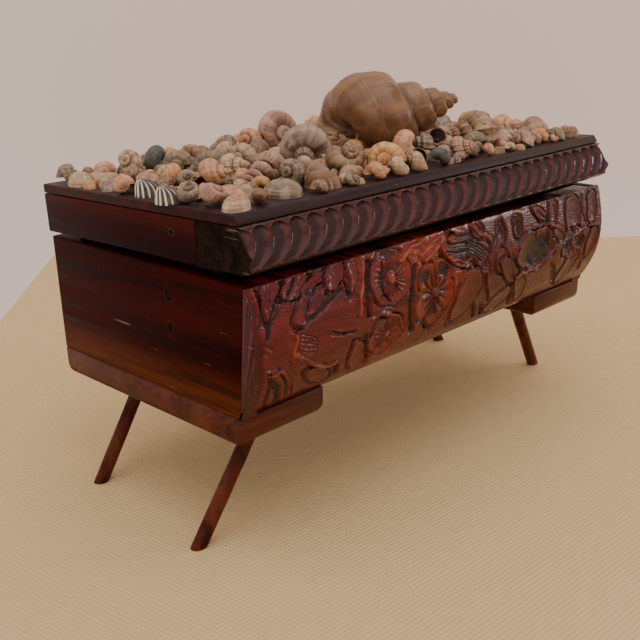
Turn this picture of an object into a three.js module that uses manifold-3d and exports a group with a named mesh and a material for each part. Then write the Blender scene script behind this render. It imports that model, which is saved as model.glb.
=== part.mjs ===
import * as THREE from 'three';
import { mergeVertices } from 'three/addons/utils/BufferGeometryUtils.js';
import Module from 'manifold-3d';

// A small varnished wooden casket on four splayed dowel legs. The front is a bowed,
// carved panel, the lid has a fluted moulding along its front and is covered with sea shells.
// X runs along the box, the carved front faces -Y, Z is up. Lengths are in millimetres.

// Body
const boxLength = 250;
const boxDepth = 120.6; // the end boards, at their foot
const boxHeight = 52;
const endThickness = 8;
const backThickness = 8;
const floorThickness = 6;
const frontLean = 4.6; // how far the end boards' front edges lean out towards the rim
const frontWall = 3.4; // the front panel behind those edges
const panelEdge = 2.4; // the panel's face in front of those edges, at the rim
const jointGap = 0.3; // left where one piece is cut round another

// Carved front
const carvingDepth = 2.4;
const carvingColumns = 46;
const carvingRows = 9;

// Cleats and legs
const cleatLength = 45;
const cleatHeight = 12;
const cleatRounding = 5;
const legHeight = 48.5;
const legDiameter = 6.3;
const legSides = 12;
const socketDepth = 8;
const socketClearance = 0.25;
const legSetIn = 29.5; // from the end of the box to the socket, at the cleat's underside
const socketInset = 21.7; // from the cleat's front or back to the socket

// Lid
const lidTilt = 1.45; // degrees, the front stands higher
const lidRise = 3.2; // from the rim to the lid's underside, half way back
const lidBoard = 4; // the shell-covered top board
const lidFrame = 16.6; // height of the frame under it
const lidOverhangBack = 2;
const lidOverhangFront = 1.7; // of the top board's upper front edge
const lidEdgeSlope = 2; // the top board's front edge leans out by this
const lidBackThickness = 10;
const lidSeam = 0.25; // between the lid's boards
const lipThickness = 5;
const lipDrop = 8;
const lipClearance = 0.4;

// Fluted moulding
const mouldingOverhang = 11.4; // of its boldest point
const mouldingDepth = 31;
const mouldingPitch = 8.93;
const mouldingColumns = 3; // facets across one flute
const fluteDepth = 1.7;
const fluteSlant = 13; // how far a flute runs to the left on its way down
const fluteBow = 1.6; // how far its middle bows to the right of a straight line

// Shells
const shellGap = 0.3; // between a shell and the board
const shellSpacing = 0.35; // between neighbouring shells
const shellMargin = 0.6; // from the board's edge
const shellFineness = 0.03; // detail smaller than this is merged
const shellSeat = 0.07; // share of a shell's width that is worn flat where it stands
const ballShare = 0.94; // of a slice's reach, for the balls that keep shells apart
const smallShell = 9.8; // width of the little shells that fill the gaps
const smallShellHeight = 5;
const smallShellPitch = 6.5; // between the middles of two that touch

const woodDark = { color: 0x431411, roughness: 0.42, metalness: 0 };
const woodRed = { color: 0x5a1a12, roughness: 0.38, metalness: 0 };
const woodBrown = { color: 0x4d2216, roughness: 0.45, metalness: 0 };
const woodPurple = { color: 0x2f1a19, roughness: 0.4, metalness: 0 };
const shellColours = {
  tan: 0xa27a55, cream: 0xcbb795, grey: 0x8a8078, olive: 0x6f6a4e, peach: 0xc98f6a,
  orange: 0xc07a3c, brown: 0x7a5a3e, pink: 0xb98a80, slate: 0x4c5450,
};

const rad = THREE.MathUtils.degToRad;
const rimHeight = legHeight + cleatHeight + boxHeight;
const bodyFloor = legHeight + cleatHeight;
const endFoot = boxDepth / 2; // the end boards' edges, from the middle line
const halfLength = boxLength / 2;
const insideHalf = halfLength - endThickness;
const lidFrontEdge = endFoot + lidOverhangFront;
const mouldingFront = endFoot + mouldingOverhang;

const root = new THREE.Group();
const lid = new THREE.Group();
root.add(lid);

function addMesh(parent, name, geometry, look) {
  geometry.computeVertexNormals();
  const mesh = new THREE.Mesh(geometry, new THREE.MeshStandardMaterial(look));
  mesh.name = name;
  parent.add(mesh);
  return mesh;
}

function toSolid(geometry) {
  const bare = geometry.clone();
  bare.deleteAttribute('normal');
  bare.deleteAttribute('uv');
  const merged = mergeVertices(bare, 1e-5);
  return new wasm.Manifold(new wasm.Mesh({
    numProp: 3,
    vertProperties: new Float32Array(merged.attributes.position.array),
    triVerts: new Uint32Array(merged.index.array),
  }));
}

function toGeometry(solid) {
  const mesh = solid.getMesh();
  const geometry = new THREE.BufferGeometry();
  geometry.setAttribute('position', new THREE.BufferAttribute(new Float32Array(mesh.vertProperties), 3));
  geometry.setIndex(new THREE.BufferAttribute(new Uint32Array(mesh.triVerts), 1));
  return geometry;
}

const wasm = await Module();
wasm.setup();

function meshOf(points, triangles) {
  const geometry = new THREE.BufferGeometry();
  geometry.setAttribute('position', new THREE.Float32BufferAttribute(points.flat(), 3));
  geometry.setIndex(triangles.flat());
  return geometry;
}

// a block between two corners
function block(x0, x1, y0, y1, z0, z1) {
  const geometry = new THREE.BoxGeometry(x1 - x0, y1 - y0, z1 - z0);
  geometry.translate((x0 + x1) / 2, (y0 + y1) / 2, (z0 + z1) / 2);
  return geometry;
}

// an outline in Y and Z, drawn out along X from x0 to x1
function drawnAlongX(outline, x0, x1) {
  const shape = new THREE.Shape(outline.map(([y, z]) => new THREE.Vector2(y, z)));
  const geometry = new THREE.ExtrudeGeometry(shape, { depth: x1 - x0, bevelEnabled: false });
  geometry.applyMatrix4(new THREE.Matrix4().makeBasis(
    new THREE.Vector3(0, 1, 0), new THREE.Vector3(0, 0, 1), new THREE.Vector3(1, 0, 0)));
  geometry.translate(x0, 0, 0);
  return geometry;
}

// rows of points joined into a closed skin; every row goes once round the same section
function loft(rows) {
  const points = rows.flat();
  const round = rows[0].length;
  const triangles = [];
  for (let i = 0; i < rows.length - 1; i++) {
    for (let j = 0; j < round; j++) {
      const a = i * round + j;
      const b = i * round + (j + 1) % round;
      triangles.push([a, b, a + round], [b, b + round, a + round]);
    }
  }
  const outline = rows[0].map((p) => new THREE.Vector2(p[1], p[2]));
  for (const [i, j, k] of THREE.ShapeUtils.triangulateShape(outline, [])) {
    const last = (rows.length - 1) * round;
    triangles.push([i, k, j], [last + i, last + j, last + k]);
  }
  return meshOf(points, triangles);
}

// Body boards

function endEdge(z) { // the end boards' front edge, from the middle line
  return endFoot + frontLean * (z - bodyFloor) / boxHeight;
}

function endBoard(x0) {
  const outline = [
    [-endEdge(bodyFloor), bodyFloor], [endFoot, bodyFloor], [endFoot, rimHeight], [-endEdge(rimHeight), rimHeight],
  ];
  return drawnAlongX(outline, x0, x0 + endThickness);
}

// The bowed face: how far it stands out at each share of the height
const bow = new THREE.SplineCurve([
  new THREE.Vector2(0, 0), new THREE.Vector2(0.08, 3.2), new THREE.Vector2(0.27, 8.0),
  new THREE.Vector2(0.46, 10.4), new THREE.Vector2(0.66, 10.6), new THREE.Vector2(0.86, 8.9),
  new THREE.Vector2(1, frontLean + panelEdge),
]);

function faceAt(share) {
  let low = 0;
  let high = 1;
  for (let i = 0; i < 24; i++) {
    const middle = (low + high) / 2;
    if (bow.getPoint(middle).x < share) low = middle;
    else high = middle;
  }
  return endFoot + bow.getPoint(low).y;
}

// Carving: motifs are placed by their distance from the left end and from the foot of the panel
const flowers = [
  { along: 75, up: 41, wide: 14.5, high: 12.5, petals: 14 },
  { along: 104, up: 31, wide: 14, high: 13, petals: 5 },
  { along: 73, up: 17.5, wide: 11, high: 10, petals: 7 },
  { along: 215, up: 42, wide: 13, high: 10, petals: 6 },
  { along: 211, up: 26, wide: 10, high: 9, petals: 5 },
  { along: 236, up: 30, wide: 10, high: 12, petals: 6 },
  { along: 12, up: 15, wide: 10, high: 10, petals: 5 },
];
const leaves = [
  { along: 126, up: 43, long: 34, wide: 15, turn: -14 },
  { along: 191, up: 34, long: 30, wide: 13, turn: 12 },
  { along: 7, up: 44, long: 22, wide: 10, turn: 74 },
  { along: 19, up: 43, long: 24, wide: 10, turn: 66 },
  { along: 32, up: 43, long: 22, wide: 11, turn: 50 },
  { along: 46, up: 45, long: 18, wide: 9, turn: 30 },
  { along: 156, up: 45, long: 18, wide: 14, turn: 85 },
  { along: 38, up: 22, long: 44, wide: 20, turn: -12 },
  { along: 134, up: 22, long: 22, wide: 10, turn: 40 },
  { along: 163, up: 24, long: 26, wide: 12, turn: -30 },
];

function smooth(from, to, value) {
  const share = Math.min(Math.max((value - from) / (to - from), 0), 1);
  return share * share * (3 - 2 * share);
}

function flowerHeight(flower, along, up) {
  const x = (along - flower.along) / flower.wide;
  const z = (up - flower.up) / flower.high;
  const radius = Math.hypot(x, z);
  const petal = 0.86 + 0.14 * Math.cos(flower.petals * Math.atan2(z, x));
  const dish = 0.55 + 0.45 * smooth(0.25, 0.8, radius) + 0.5 * (1 - smooth(0.12, 0.3, radius));
  return dish * (1 - smooth(petal - 0.12, petal + 0.08, radius));
}

function leafHeight(leaf, along, up) {
  const turn = rad(leaf.turn);
  const x = (along - leaf.along) * Math.cos(turn) + (up - leaf.up) * Math.sin(turn);
  const z = (up - leaf.up) * Math.cos(turn) - (along - leaf.along) * Math.sin(turn);
  const long = x / (leaf.long / 2);
  const wide = z / (leaf.wide / 2) / Math.max(0.15, 1 - long * long * 0.75);
  const radius = Math.hypot(long, wide);
  return (0.75 + 0.25 * Math.min(1, Math.abs(wide))) * (1 - smooth(0.8, 1.05, radius));
}

function carving(along, up) { // 0 on the ground, 1 on the highest forms
  let height = 0.25;
  for (const flower of flowers) height = Math.max(height, flowerHeight(flower, along, up));
  for (const leaf of leaves) height = Math.max(height, leafHeight(leaf, along, up));
  return height;
}

function frontPanel() {
  const back = endFoot - frontWall;
  const rows = [];
  for (let i = 0; i <= carvingColumns; i++) {
    const along = boxLength * i / carvingColumns;
    const row = [[along - halfLength, -back, bodyFloor]];
    row.push([along - halfLength, -back, rimHeight]);
    for (let j = carvingRows; j >= 0; j--) {
      const share = j / carvingRows;
      const up = boxHeight * share;
      const atEdge = smooth(0, 0.12, share) * smooth(0, 0.06, 1 - share);
      const relief = carvingDepth * (1 - carving(along, up)) * atEdge;
      row.push([along - halfLength, relief - faceAt(share), bodyFloor + up]);
    }
    rows.push(row);
  }
  let panel = toSolid(loft(rows));
  for (const side of [-1, 1]) { // the ends are rebated over the end boards
    const inner = insideHalf - jointGap;
    const outer = halfLength + 1;
    const rebate = drawnAlongX([
      [-endEdge(bodyFloor - 1) - jointGap, bodyFloor - 1], [0, bodyFloor - 1],
      [0, rimHeight + 1], [-endEdge(rimHeight + 1) - jointGap, rimHeight + 1],
    ], side < 0 ? -outer : inner, side < 0 ? -inner : outer);
    panel = panel.subtract(toSolid(rebate));
  }
  return toGeometry(panel);
}

function bodyBoards() {
  const inner = endFoot - backThickness;
  addMesh(root, 'body_front_panel', frontPanel(), woodRed);
  addMesh(root, 'body_end_left', endBoard(-halfLength), woodRed);
  addMesh(root, 'body_end_right', endBoard(insideHalf), woodRed);
  addMesh(root, 'body_back_board', block(-insideHalf, insideHalf, inner, endFoot, bodyFloor, rimHeight), woodDark);
  const front = endFoot - frontWall;
  addMesh(root, 'body_floor_board',
    block(-insideHalf, insideHalf, -front, inner, bodyFloor, bodyFloor + floorThickness), woodBrown);
}

// Cleats and legs

function cleatOutline() { // in Y and Z, with rounded lower corners
  const arc = [];
  const steps = 4;
  for (let i = 0; i <= steps; i++) {
    const angle = -Math.PI / 2 + Math.PI / 2 * i / steps;
    arc.push([Math.cos(angle) * cleatRounding, Math.sin(angle) * cleatRounding]);
  }
  const low = legHeight + cleatRounding;
  const side = endFoot - cleatRounding;
  const right = arc.map(([y, z]) => [side + y, low + z]);
  const left = arc.slice().reverse().map(([y, z]) => [-side - y, low + z]);
  return [...right, [endFoot, bodyFloor], [-endFoot, bodyFloor], ...left];
}

// Each foot stands past the end of the box by its splay, and in from the box's front or back by its inset
const legs = [
  { name: 'front_left', side: -1, front: -1, splay: 7.8, inset: 21 },
  { name: 'back_left', side: -1, front: 1, splay: 3.5, inset: 22.8 },
  { name: 'front_right', side: 1, front: -1, splay: 8.6, inset: 29.3 },
  { name: 'back_right', side: 1, front: 1, splay: 5, inset: 23.8 },
];

function legRod(leg, radius, reach) { // a round rod along the leg, past the floor at its foot
  const neck = new THREE.Vector3(
    leg.side * (halfLength - legSetIn), leg.front * (endFoot - socketInset), legHeight);
  const foot = new THREE.Vector3(leg.side * (halfLength + leg.splay), leg.front * (endFoot - leg.inset), 0);
  const direction = neck.clone().sub(foot).normalize();
  const top = neck.clone().addScaledVector(direction, reach);
  const bottom = foot.clone().addScaledVector(direction, -legDiameter);
  const rod = new THREE.CylinderGeometry(radius, radius, top.distanceTo(bottom), legSides, 1);
  rod.applyQuaternion(new THREE.Quaternion().setFromUnitVectors(new THREE.Vector3(0, 1, 0), direction));
  rod.translate(...top.add(bottom).multiplyScalar(0.5).toArray());
  return toSolid(rod);
}

function cleat(side) {
  let solid = toSolid(drawnAlongX(cleatOutline(), -cleatLength / 2, cleatLength / 2));
  // the lower inner edge is rounded too: the same block seen from the front, cut off round
  const shape = new THREE.Shape();
  const half = cleatLength / 2;
  const outerRounding = cleatRounding * 0.4;
  shape.moveTo(-half, bodyFloor);
  shape.lineTo(-half, legHeight + outerRounding);
  shape.absarc(-half + outerRounding, legHeight + outerRounding, outerRounding, Math.PI, 1.5 * Math.PI);
  shape.lineTo(half - cleatRounding, legHeight);
  shape.absarc(half - cleatRounding, legHeight + cleatRounding, cleatRounding, 1.5 * Math.PI, 2 * Math.PI);
  shape.lineTo(half, bodyFloor);
  const profile = new THREE.ExtrudeGeometry(shape, { depth: boxDepth + 2, bevelEnabled: false, curveSegments: 4 });
  profile.applyMatrix4(new THREE.Matrix4().makeBasis(
    new THREE.Vector3(1, 0, 0), new THREE.Vector3(0, 0, 1), new THREE.Vector3(0, -1, 0)));
  profile.translate(0, endFoot + 1, 0);
  if (side > 0) profile.rotateZ(Math.PI);
  solid = solid.intersect(toSolid(profile));
  solid = solid.translate([side * (halfLength - cleatLength / 2), 0, 0]);
  for (const leg of legs.filter((entry) => entry.side === side)) {
    solid = solid.subtract(legRod(leg, legDiameter / 2 + socketClearance, socketDepth + socketClearance));
  }
  return toGeometry(solid);
}

function cleatsAndLegs() {
  addMesh(root, 'cleat_left', cleat(-1), woodBrown);
  addMesh(root, 'cleat_right', cleat(1), woodBrown);
  const above = toSolid(block(-boxLength, boxLength, -boxDepth, boxDepth, 0, rimHeight));
  for (const leg of legs) {
    const rod = legRod(leg, legDiameter / 2, socketDepth).intersect(above);
    addMesh(root, `leg_${leg.name}`, toGeometry(rod), woodBrown);
  }
}

// Lid. Its own frame has Z 0 at the underside of the frame and turns as one.

lid.position.z = rimHeight + lidRise;
lid.rotation.x = -rad(lidTilt);
const lidBack = endFoot + lidOverhangBack;
const mouldingBack = mouldingFront - mouldingDepth;
const lidTop = lidFrame + lidBoard;

// The moulding's front: distance in front of its back face and height, from the foot up
const ovolo = new THREE.SplineCurve([
  new THREE.Vector2(mouldingDepth - 4.6, 0), new THREE.Vector2(mouldingDepth - 0.9, 2.4),
  new THREE.Vector2(mouldingDepth, 4.8), new THREE.Vector2(mouldingDepth - 1, 7.9),
  new THREE.Vector2(mouldingDepth - 2.6, 11.8), new THREE.Vector2(mouldingDepth - 4.9, 15),
  new THREE.Vector2(mouldingDepth - 6.4, lidFrame),
]);

function fluteHeight(across, up) { // across: place within one flute, up: share of the height
  const scoop = 1 - (2 * across - 1) ** 2;
  const ends = smooth(0.04, 0.2, up) * smooth(0.04, 0.16, 1 - up);
  return scoop * ends;
}

function moulding() {
  const rows = [];
  const flutes = Math.ceil(boxLength / mouldingPitch) + 3;
  const start = -mouldingPitch * flutes / 2;
  const levels = [0, 0.22, 0.48, 0.78, 1];
  for (let i = 0; i <= flutes * mouldingColumns; i++) {
    const x = start + mouldingPitch * i / mouldingColumns;
    const across = (i % mouldingColumns) / mouldingColumns;
    const row = [[x, -mouldingBack, 0], [x, -mouldingBack, lidFrame]];
    for (const level of [...levels].reverse()) {
      const point = ovolo.getPoint(level);
      const depth = fluteDepth * fluteHeight(across, level);
      const slant = fluteSlant * (level - 0.5) + fluteBow * Math.sin(Math.PI * level);
      row.push([x + slant, -(mouldingBack + point.x - depth), point.y]);
    }
    rows.push(row);
  }
  const solid = toSolid(loft(rows));
  const length = toSolid(block(-halfLength, halfLength, -boxDepth, boxDepth, -1, lidFrame + 1));
  return toGeometry(solid.intersect(length));
}

function lidBoards() {
  const under = lidFrame + lidSeam;
  const topOutline = [
    [lidBack, under], [lidBack, lidTop], [-lidFrontEdge, lidTop],
    [-lidFrontEdge - lidEdgeSlope * 0.8, under + lidBoard * 0.35], [-lidFrontEdge - lidEdgeSlope, under],
  ];
  addMesh(lid, 'lid_top_board', drawnAlongX([...topOutline].reverse(), -halfLength, halfLength), woodDark);
  addMesh(lid, 'lid_front_moulding', moulding(), woodPurple);
  const front = -mouldingBack + lidSeam;
  for (const [name, x0] of [['left', -halfLength], ['right', insideHalf]]) {
    addMesh(lid, `lid_end_${name}`, block(x0, x0 + endThickness, front, lidBack, 0, lidFrame), woodDark);
  }
  const inside = insideHalf - lidSeam;
  addMesh(lid, 'lid_back_board',
    block(-inside, inside, lidBack - lidBackThickness, lidBack, 0, lidFrame), woodDark);
  const lipBack = lidBack - lidBackThickness - lipClearance;
  for (const [name, side] of [['left', -1], ['right', 1]]) {
    const outer = side * (insideHalf - lipClearance);
    const inner = side * (insideHalf - lipClearance - lipThickness);
    addMesh(lid, `lid_lip_${name}`,
      block(Math.min(outer, inner), Math.max(outer, inner), front, lipBack, -lipDrop, lidFrame), woodBrown);
  }
}

// Shells

// A coiled shell about +Z with its apex up. One column of points at each angle grows with the coil;
// a column's belly meets the top of the column one turn later, which makes the sutures.
function coil(form) {
  const { width, height, turns, growth, sides } = form;
  const count = Math.round(turns * sides);
  const scaleAt = (i) => growth ** ((i - count) / sides);
  const low = [0.9, form.spire + 0.42 * form.belly]; // suture under the widest point, from the apex
  const section = [[low[0] / growth, low[1] / growth], [0.86, form.spire * 0.8], [1, form.spire]];
  const base = [low, [0.58, form.spire + 0.82 * form.belly]];
  const points = [];
  const place = (i, [r, z]) => {
    const angle = -2 * Math.PI * i / sides; // seen from its apex the coil runs clockwise
    const scale = scaleAt(i);
    points.push([r * scale * Math.cos(angle), r * scale * Math.sin(angle), -z * scale]);
    return points.length - 1;
  };
  const columns = [];
  for (let i = 0; i <= count; i++) columns.push(section.map((p) => place(i, p)));
  const last = count - sides;
  const bases = [];
  for (let i = last; i <= count; i++) bases[i] = base.map((p) => place(i, p));
  points.push([0, 0, -columnTop(section, scaleAt(0))]);
  const apex = points.length - 1;
  points.push([0, 0, -(form.spire + form.belly)]);
  const foot = points.length - 1;
  const triangles = [];
  const quad = (a, b, c, d) => triangles.push([a, b, c], [a, c, d]);
  for (let i = 0; i < count; i++) {
    for (let j = 0; j < section.length - 1; j++) {
      quad(columns[i][j], columns[i][j + 1], columns[i + 1][j + 1], columns[i + 1][j]);
    }
    const belly = section.length - 1;
    if (i < last) {
      quad(columns[i][belly], columns[i + sides][0], columns[i + 1 + sides][0], columns[i + 1][belly]);
    } else {
      quad(columns[i][belly], bases[i][0], bases[i + 1][0], columns[i + 1][belly]);
      quad(bases[i][0], bases[i][1], bases[i + 1][1], bases[i + 1][0]);
      triangles.push([bases[i][1], foot, bases[i + 1][1]]);
    }
    if (i < sides) triangles.push([apex, columns[i][0], columns[i + 1][0]]);
  }
  const start = [...columns[0], columns[sides][0]]; // closes the first turn
  for (let j = 0; j < start.length - 1; j++) triangles.push([apex, start[j + 1], start[j]]);
  const mouth = [...columns[count], ...bases[count], foot, bases[last][1], bases[last][0], columns[last].at(-1)];
  const corner = new THREE.Vector3(); // the mouth is a fan about its middle, set a little back
  for (const k of mouth) corner.add(new THREE.Vector3(...points[k]));
  corner.multiplyScalar(1 / mouth.length);
  points.push(corner.toArray());
  const middle = points.length - 1;
  for (let j = 0; j < mouth.length; j++) triangles.push([middle, mouth[j], mouth[(j + 1) % mouth.length]]);
  const geometry = meshOf(points, triangles.map(([a, b, c]) => [a, c, b]));
  geometry.computeBoundingBox();
  const size = geometry.boundingBox.getSize(new THREE.Vector3());
  geometry.scale(width / Math.max(size.x, size.y), width / Math.max(size.x, size.y), height / size.z);
  return geometry;
}

function columnTop(section, scale) {
  return section[0][1] * scale * 0.6;
}

// A ribbed valve or a limpet, domed up over Z 0, with its beak towards +X
function valve(form) {
  const { length, width, height, ribs, beak, rings } = form;
  const sides = ribs ? ribs * 2 : 6;
  const points = [];
  const place = (ring, i) => {
    const angle = 2 * Math.PI * i / sides;
    const rib = ribs && i % 2 ? 0.93 : 1;
    const reach = ring * rib * (1 - 0.12 * Math.max(0, Math.cos(angle)));
    const rise = height * Math.sqrt(Math.max(0, 1 - ring ** 2.2)) * (ribs && i % 2 ? 0.94 : 1);
    points.push([
      length / 2 * (reach * Math.cos(angle) + beak * (1 - ring)), width / 2 * reach * Math.sin(angle), rise,
    ]);
  };
  for (const ring of rings) for (let i = 0; i < sides; i++) place(ring, i);
  points.push([length / 2 * beak, 0, height]);
  const top = points.length - 1;
  points.push([0, 0, 0]);
  const under = points.length - 1;
  const triangles = [];
  for (let i = 0; i < sides; i++) {
    const next = (i + 1) % sides;
    for (let k = 0; k < rings.length - 1; k++) {
      const a = k * sides + i;
      const b = k * sides + next;
      triangles.push([a, b, b + sides], [a, b + sides, a + sides]);
    }
    const inner = (rings.length - 1) * sides;
    triangles.push([inner + i, inner + next, top], [next, i, under]);
  }
  return meshOf(points, triangles);
}

const forms = {
  moon: { turns: 1.72, growth: 2, spire: 0.6, belly: 0.9, sides: 7, tall: 0.86 },
  snail: { turns: 1.86, growth: 1.75, spire: 0.95, belly: 0.85, sides: 7, tall: 1.08 },
  turban: { turns: 2.3, growth: 1.55, spire: 1.5, belly: 0.9, sides: 7, tall: 1.35 },
  cone: { turns: 3.5, growth: 1.36, spire: 2.9, belly: 0.8, sides: 6, tall: 2.1 },
  whelk: { turns: 4.5, growth: 1.6, spire: 1.95, belly: 1.2, sides: 12, tall: 1.62 },
};

// Each shell: kind, colour, width across, place on the board in hundredths of its half length and of the
// box's half depth, the way that the apex points in the plane and above it, in degrees, and how far it
// stands on its neighbours.
const shells = [
  ['whelk', 'whelk', 'tan', 41, 19, -4, -40, 4, 2.6],
  ['moon_pink', 'moon', 'pink', 25, -1, 73, -100, 5, 3],
  ['snail_grey_big', 'moon', 'grey', 27, -29, -19, -130, -12],
  ['moon_honey', 'moon', 'peach', 18, -21, -79, -20, 60],
  ['snail_chipped', 'snail', 'grey', 17, -31, -61, -165, 35],
  ['cone_ringed', 'cone', 'pink', 12.5, -66, -46, -165, -28],
  ['moon_olive', 'moon', 'olive', 16, -60, 19, -135, 10],
  ['turban_cream', 'turban', 'cream', 12.5, -61, -12, -80, 15],
  ['snail_peach_arch', 'snail', 'peach', 14, -79, -36, -60, 10],
  ['moon_green_dark', 'moon', 'slate', 13.5, -62, 65, 90, 20],
  ['snail_olive', 'snail', 'olive', 14, -62, 43, -130, 15],
  ['snail_brown_nubby', 'turban', 'brown', 11, -40, 87, 30, 20],
  ['snail_green_grey', 'moon', 'olive', 17, -29, 70, -50, 5],
  ['snail_tan_blue', 'moon', 'tan', 17, -29, 36, 120, 20],
  ['snail_peach_small', 'snail', 'orange', 10, -77, 15, 80, 26],
  ['snail_black_marked', 'snail', 'grey', 10, -78, -7, -120, 40],
  ['snail_peach_holed', 'snail', 'peach', 9.5, -95, 12, -120, 20],
  ['turban_brown', 'turban', 'brown', 10, -85, 33, 40, 20],
  ['periwinkle_grey', 'snail', 'grey', 9, -95, -51, -130, 60],
  ['snail_pink_bean', 'moon', 'pink', 11, -94, -71, -60, 50],
  ['stub_tan', 'cone', 'tan', 6.5, -86, -95, -130, 15],
  ['snail_dark_mouth', 'snail', 'brown', 11, -10, -83, 140, 40],
  ['turban_banded', 'turban', 'grey', 14, 16, -60, 130, 5],
  ['snail_green_orange', 'moon', 'slate', 10.5, 0, -91, -10, 10],
  ['turban_pink', 'turban', 'pink', 12, 17, -86, -70, 10],
  ['whelk_broken', 'turban', 'brown', 20, 37, -68, 150, -4],
  ['knob_cream', 'snail', 'cream', 10, 57, -70, -60, 40],
  ['snail_orange', 'moon', 'orange', 10, 69, -88, -50, 10],
  ['snail_terracotta', 'snail', 'peach', 16, 78, -42, -100, 20],
  ['snail_brown_right', 'snail', 'brown', 12, 91, -53, 20, 20],
  ['moon_grey_right', 'moon', 'grey', 15, 77, 27, 60, 20],
  ['snail_ochre', 'snail', 'orange', 15, 91, 13, -40, 25],
  ['snail_tan_back', 'snail', 'tan', 18, 53, 13, 60, 20],
  ['moon_cream_back', 'moon', 'cream', 18, 38, 60, 80, 20],
];
// Each valve: colour, length, width, height, ribs, place as above and the way that its beak points
const valves = [
  ['cockle_striped', 'cream', 13, 12, 5, 9, -95, 72, 60],
  ['cockle_striped_front', 'cream', 14, 11, 5, 9, -95, -3, 130],
  ['clam_beige', 'cream', 14, 11, 4.5, 0, -92, -95, 20],
  ['limpet_grey', 'grey', 19, 16, 6, 0, -70, -81, 60],
  ['cockle_tan', 'tan', 20, 14, 6.5, 9, -54, -83, -170],
];
// Little shells stuck to each other, grown from one place, as above, over what is free round it
const clusters = [
  ['back_left', 'cream', -83, 83, 8],
  ['back_middle', 'brown', 19, 86, 8],
  ['back_right', 'grey', 86, 73, 9],
];

function onBoard(x, y) {
  return new THREE.Vector2(x / 100 * halfLength, y / 100 * endFoot);
}

// A shell's round stretches as balls, for keeping neighbours apart
function ballsOf(geometry, axis) {
  const position = geometry.attributes.position;
  const direction = axis.clone().normalize();
  const points = [];
  for (let i = 0; i < position.count; i++) points.push(new THREE.Vector3().fromBufferAttribute(position, i));
  const centre = new THREE.Box3().setFromPoints(points).getCenter(new THREE.Vector3());
  const along = points.map((p) => p.clone().sub(centre).dot(direction));
  const low = Math.min(...along);
  const high = Math.max(...along);
  const slices = 4;
  const balls = [];
  for (let k = 0; k < slices; k++) {
    const from = low + (high - low) * k / slices;
    const to = low + (high - low) * (k + 1) / slices;
    const inSlice = points.filter((p, i) => along[i] >= from - 0.01 && along[i] <= to + 0.01);
    const middle = new THREE.Box3().setFromPoints(inSlice).getCenter(new THREE.Vector3());
    const radius = Math.max(...inSlice.map((p) => p.distanceTo(middle)));
    balls.push({ middle, radius: radius * ballShare });
  }
  return balls;
}

function shellPieces() {
  const made = [];
  for (const [name, kind, colour, width, x, y, heading, pitch, lift] of shells) {
    const form = forms[kind];
    const geometry = coil({ ...form, width, height: width * form.tall });
    const apex = new THREE.Vector3(
      Math.cos(rad(pitch)) * Math.cos(rad(heading)), Math.cos(rad(pitch)) * Math.sin(rad(heading)), Math.sin(rad(pitch)));
    geometry.applyQuaternion(new THREE.Quaternion().setFromUnitVectors(new THREE.Vector3(0, 0, 1), apex));
    const sink = width * shellSeat;
    made.push({ name: `shell_${name}`, colour, geometry, at: onBoard(x, y), lift: lift ?? 0, axis: apex, sink });
  }
  for (const [name, colour, length, width, height, ribs, x, y, heading] of valves) {
    const geometry = valve({ length, width, height, ribs, beak: ribs ? 0.55 : 0.1, rings: [1, 0.82, 0.45] });
    geometry.rotateZ(rad(heading));
    const axis = new THREE.Vector3(Math.cos(rad(heading)), Math.sin(rad(heading)), 0);
    made.push({ name: `shell_${name}`, colour, geometry, at: onBoard(x, y), lift: 0, axis, sink: 0 });
  }
  for (const shell of made) { // each stands on the board, its lowest part ground flat
    shell.geometry.computeBoundingBox();
    const box = shell.geometry.boundingBox;
    const middle = box.getCenter(new THREE.Vector3());
    shell.geometry.translate(-middle.x, -middle.y, shellGap + shell.lift - shell.sink - box.min.z);
    shell.balls = ballsOf(shell.geometry, shell.axis);
  }
  spread(made);
  const board = toSolid(block(-boxLength, boxLength, -boxDepth, boxDepth, shellGap, 4 * boxHeight));
  const taken = new Set();
  for (const [name, colour, x, y, count] of clusters) {
    const piece = addMesh(lid, `shell_cluster_${name}`, cluster(made, taken, onBoard(x, y), count), {
      color: shellColours[colour], roughness: 0.5, metalness: 0,
    });
    piece.position.z = lidTop;
  }
  for (const shell of made) {
    shell.geometry.translate(shell.at.x, shell.at.y, 0);
    const closed = toSolid(shell.geometry);
    const solid = shell.sink ? closed.intersect(board).simplify(shellFineness) : closed;
    const piece = addMesh(lid, shell.name, toGeometry(solid), {
      color: shellColours[shell.colour], roughness: 0.5, metalness: 0,
    });
    piece.position.z = lidTop;
  }
}

function isFree(made, x, y) {
  const reach = smallShell / 2;
  if (Math.abs(x) > halfLength - shellMargin - reach) return false;
  if (y > lidBack - shellMargin - reach || y < -lidFrontEdge + shellMargin + reach) return false;
  const level = shellGap + smallShellHeight / 2;
  return made.every((shell) => shell.balls.every((ball) => {
    const over = Math.max(0, ball.middle.z - ball.radius - level);
    const rise = Math.max(0, ball.middle.z - level) - over;
    const near = Math.hypot(shell.at.x + ball.middle.x - x, shell.at.y + ball.middle.y - y, rise);
    return near > ball.radius + reach + shellSpacing;
  }));
}

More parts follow.
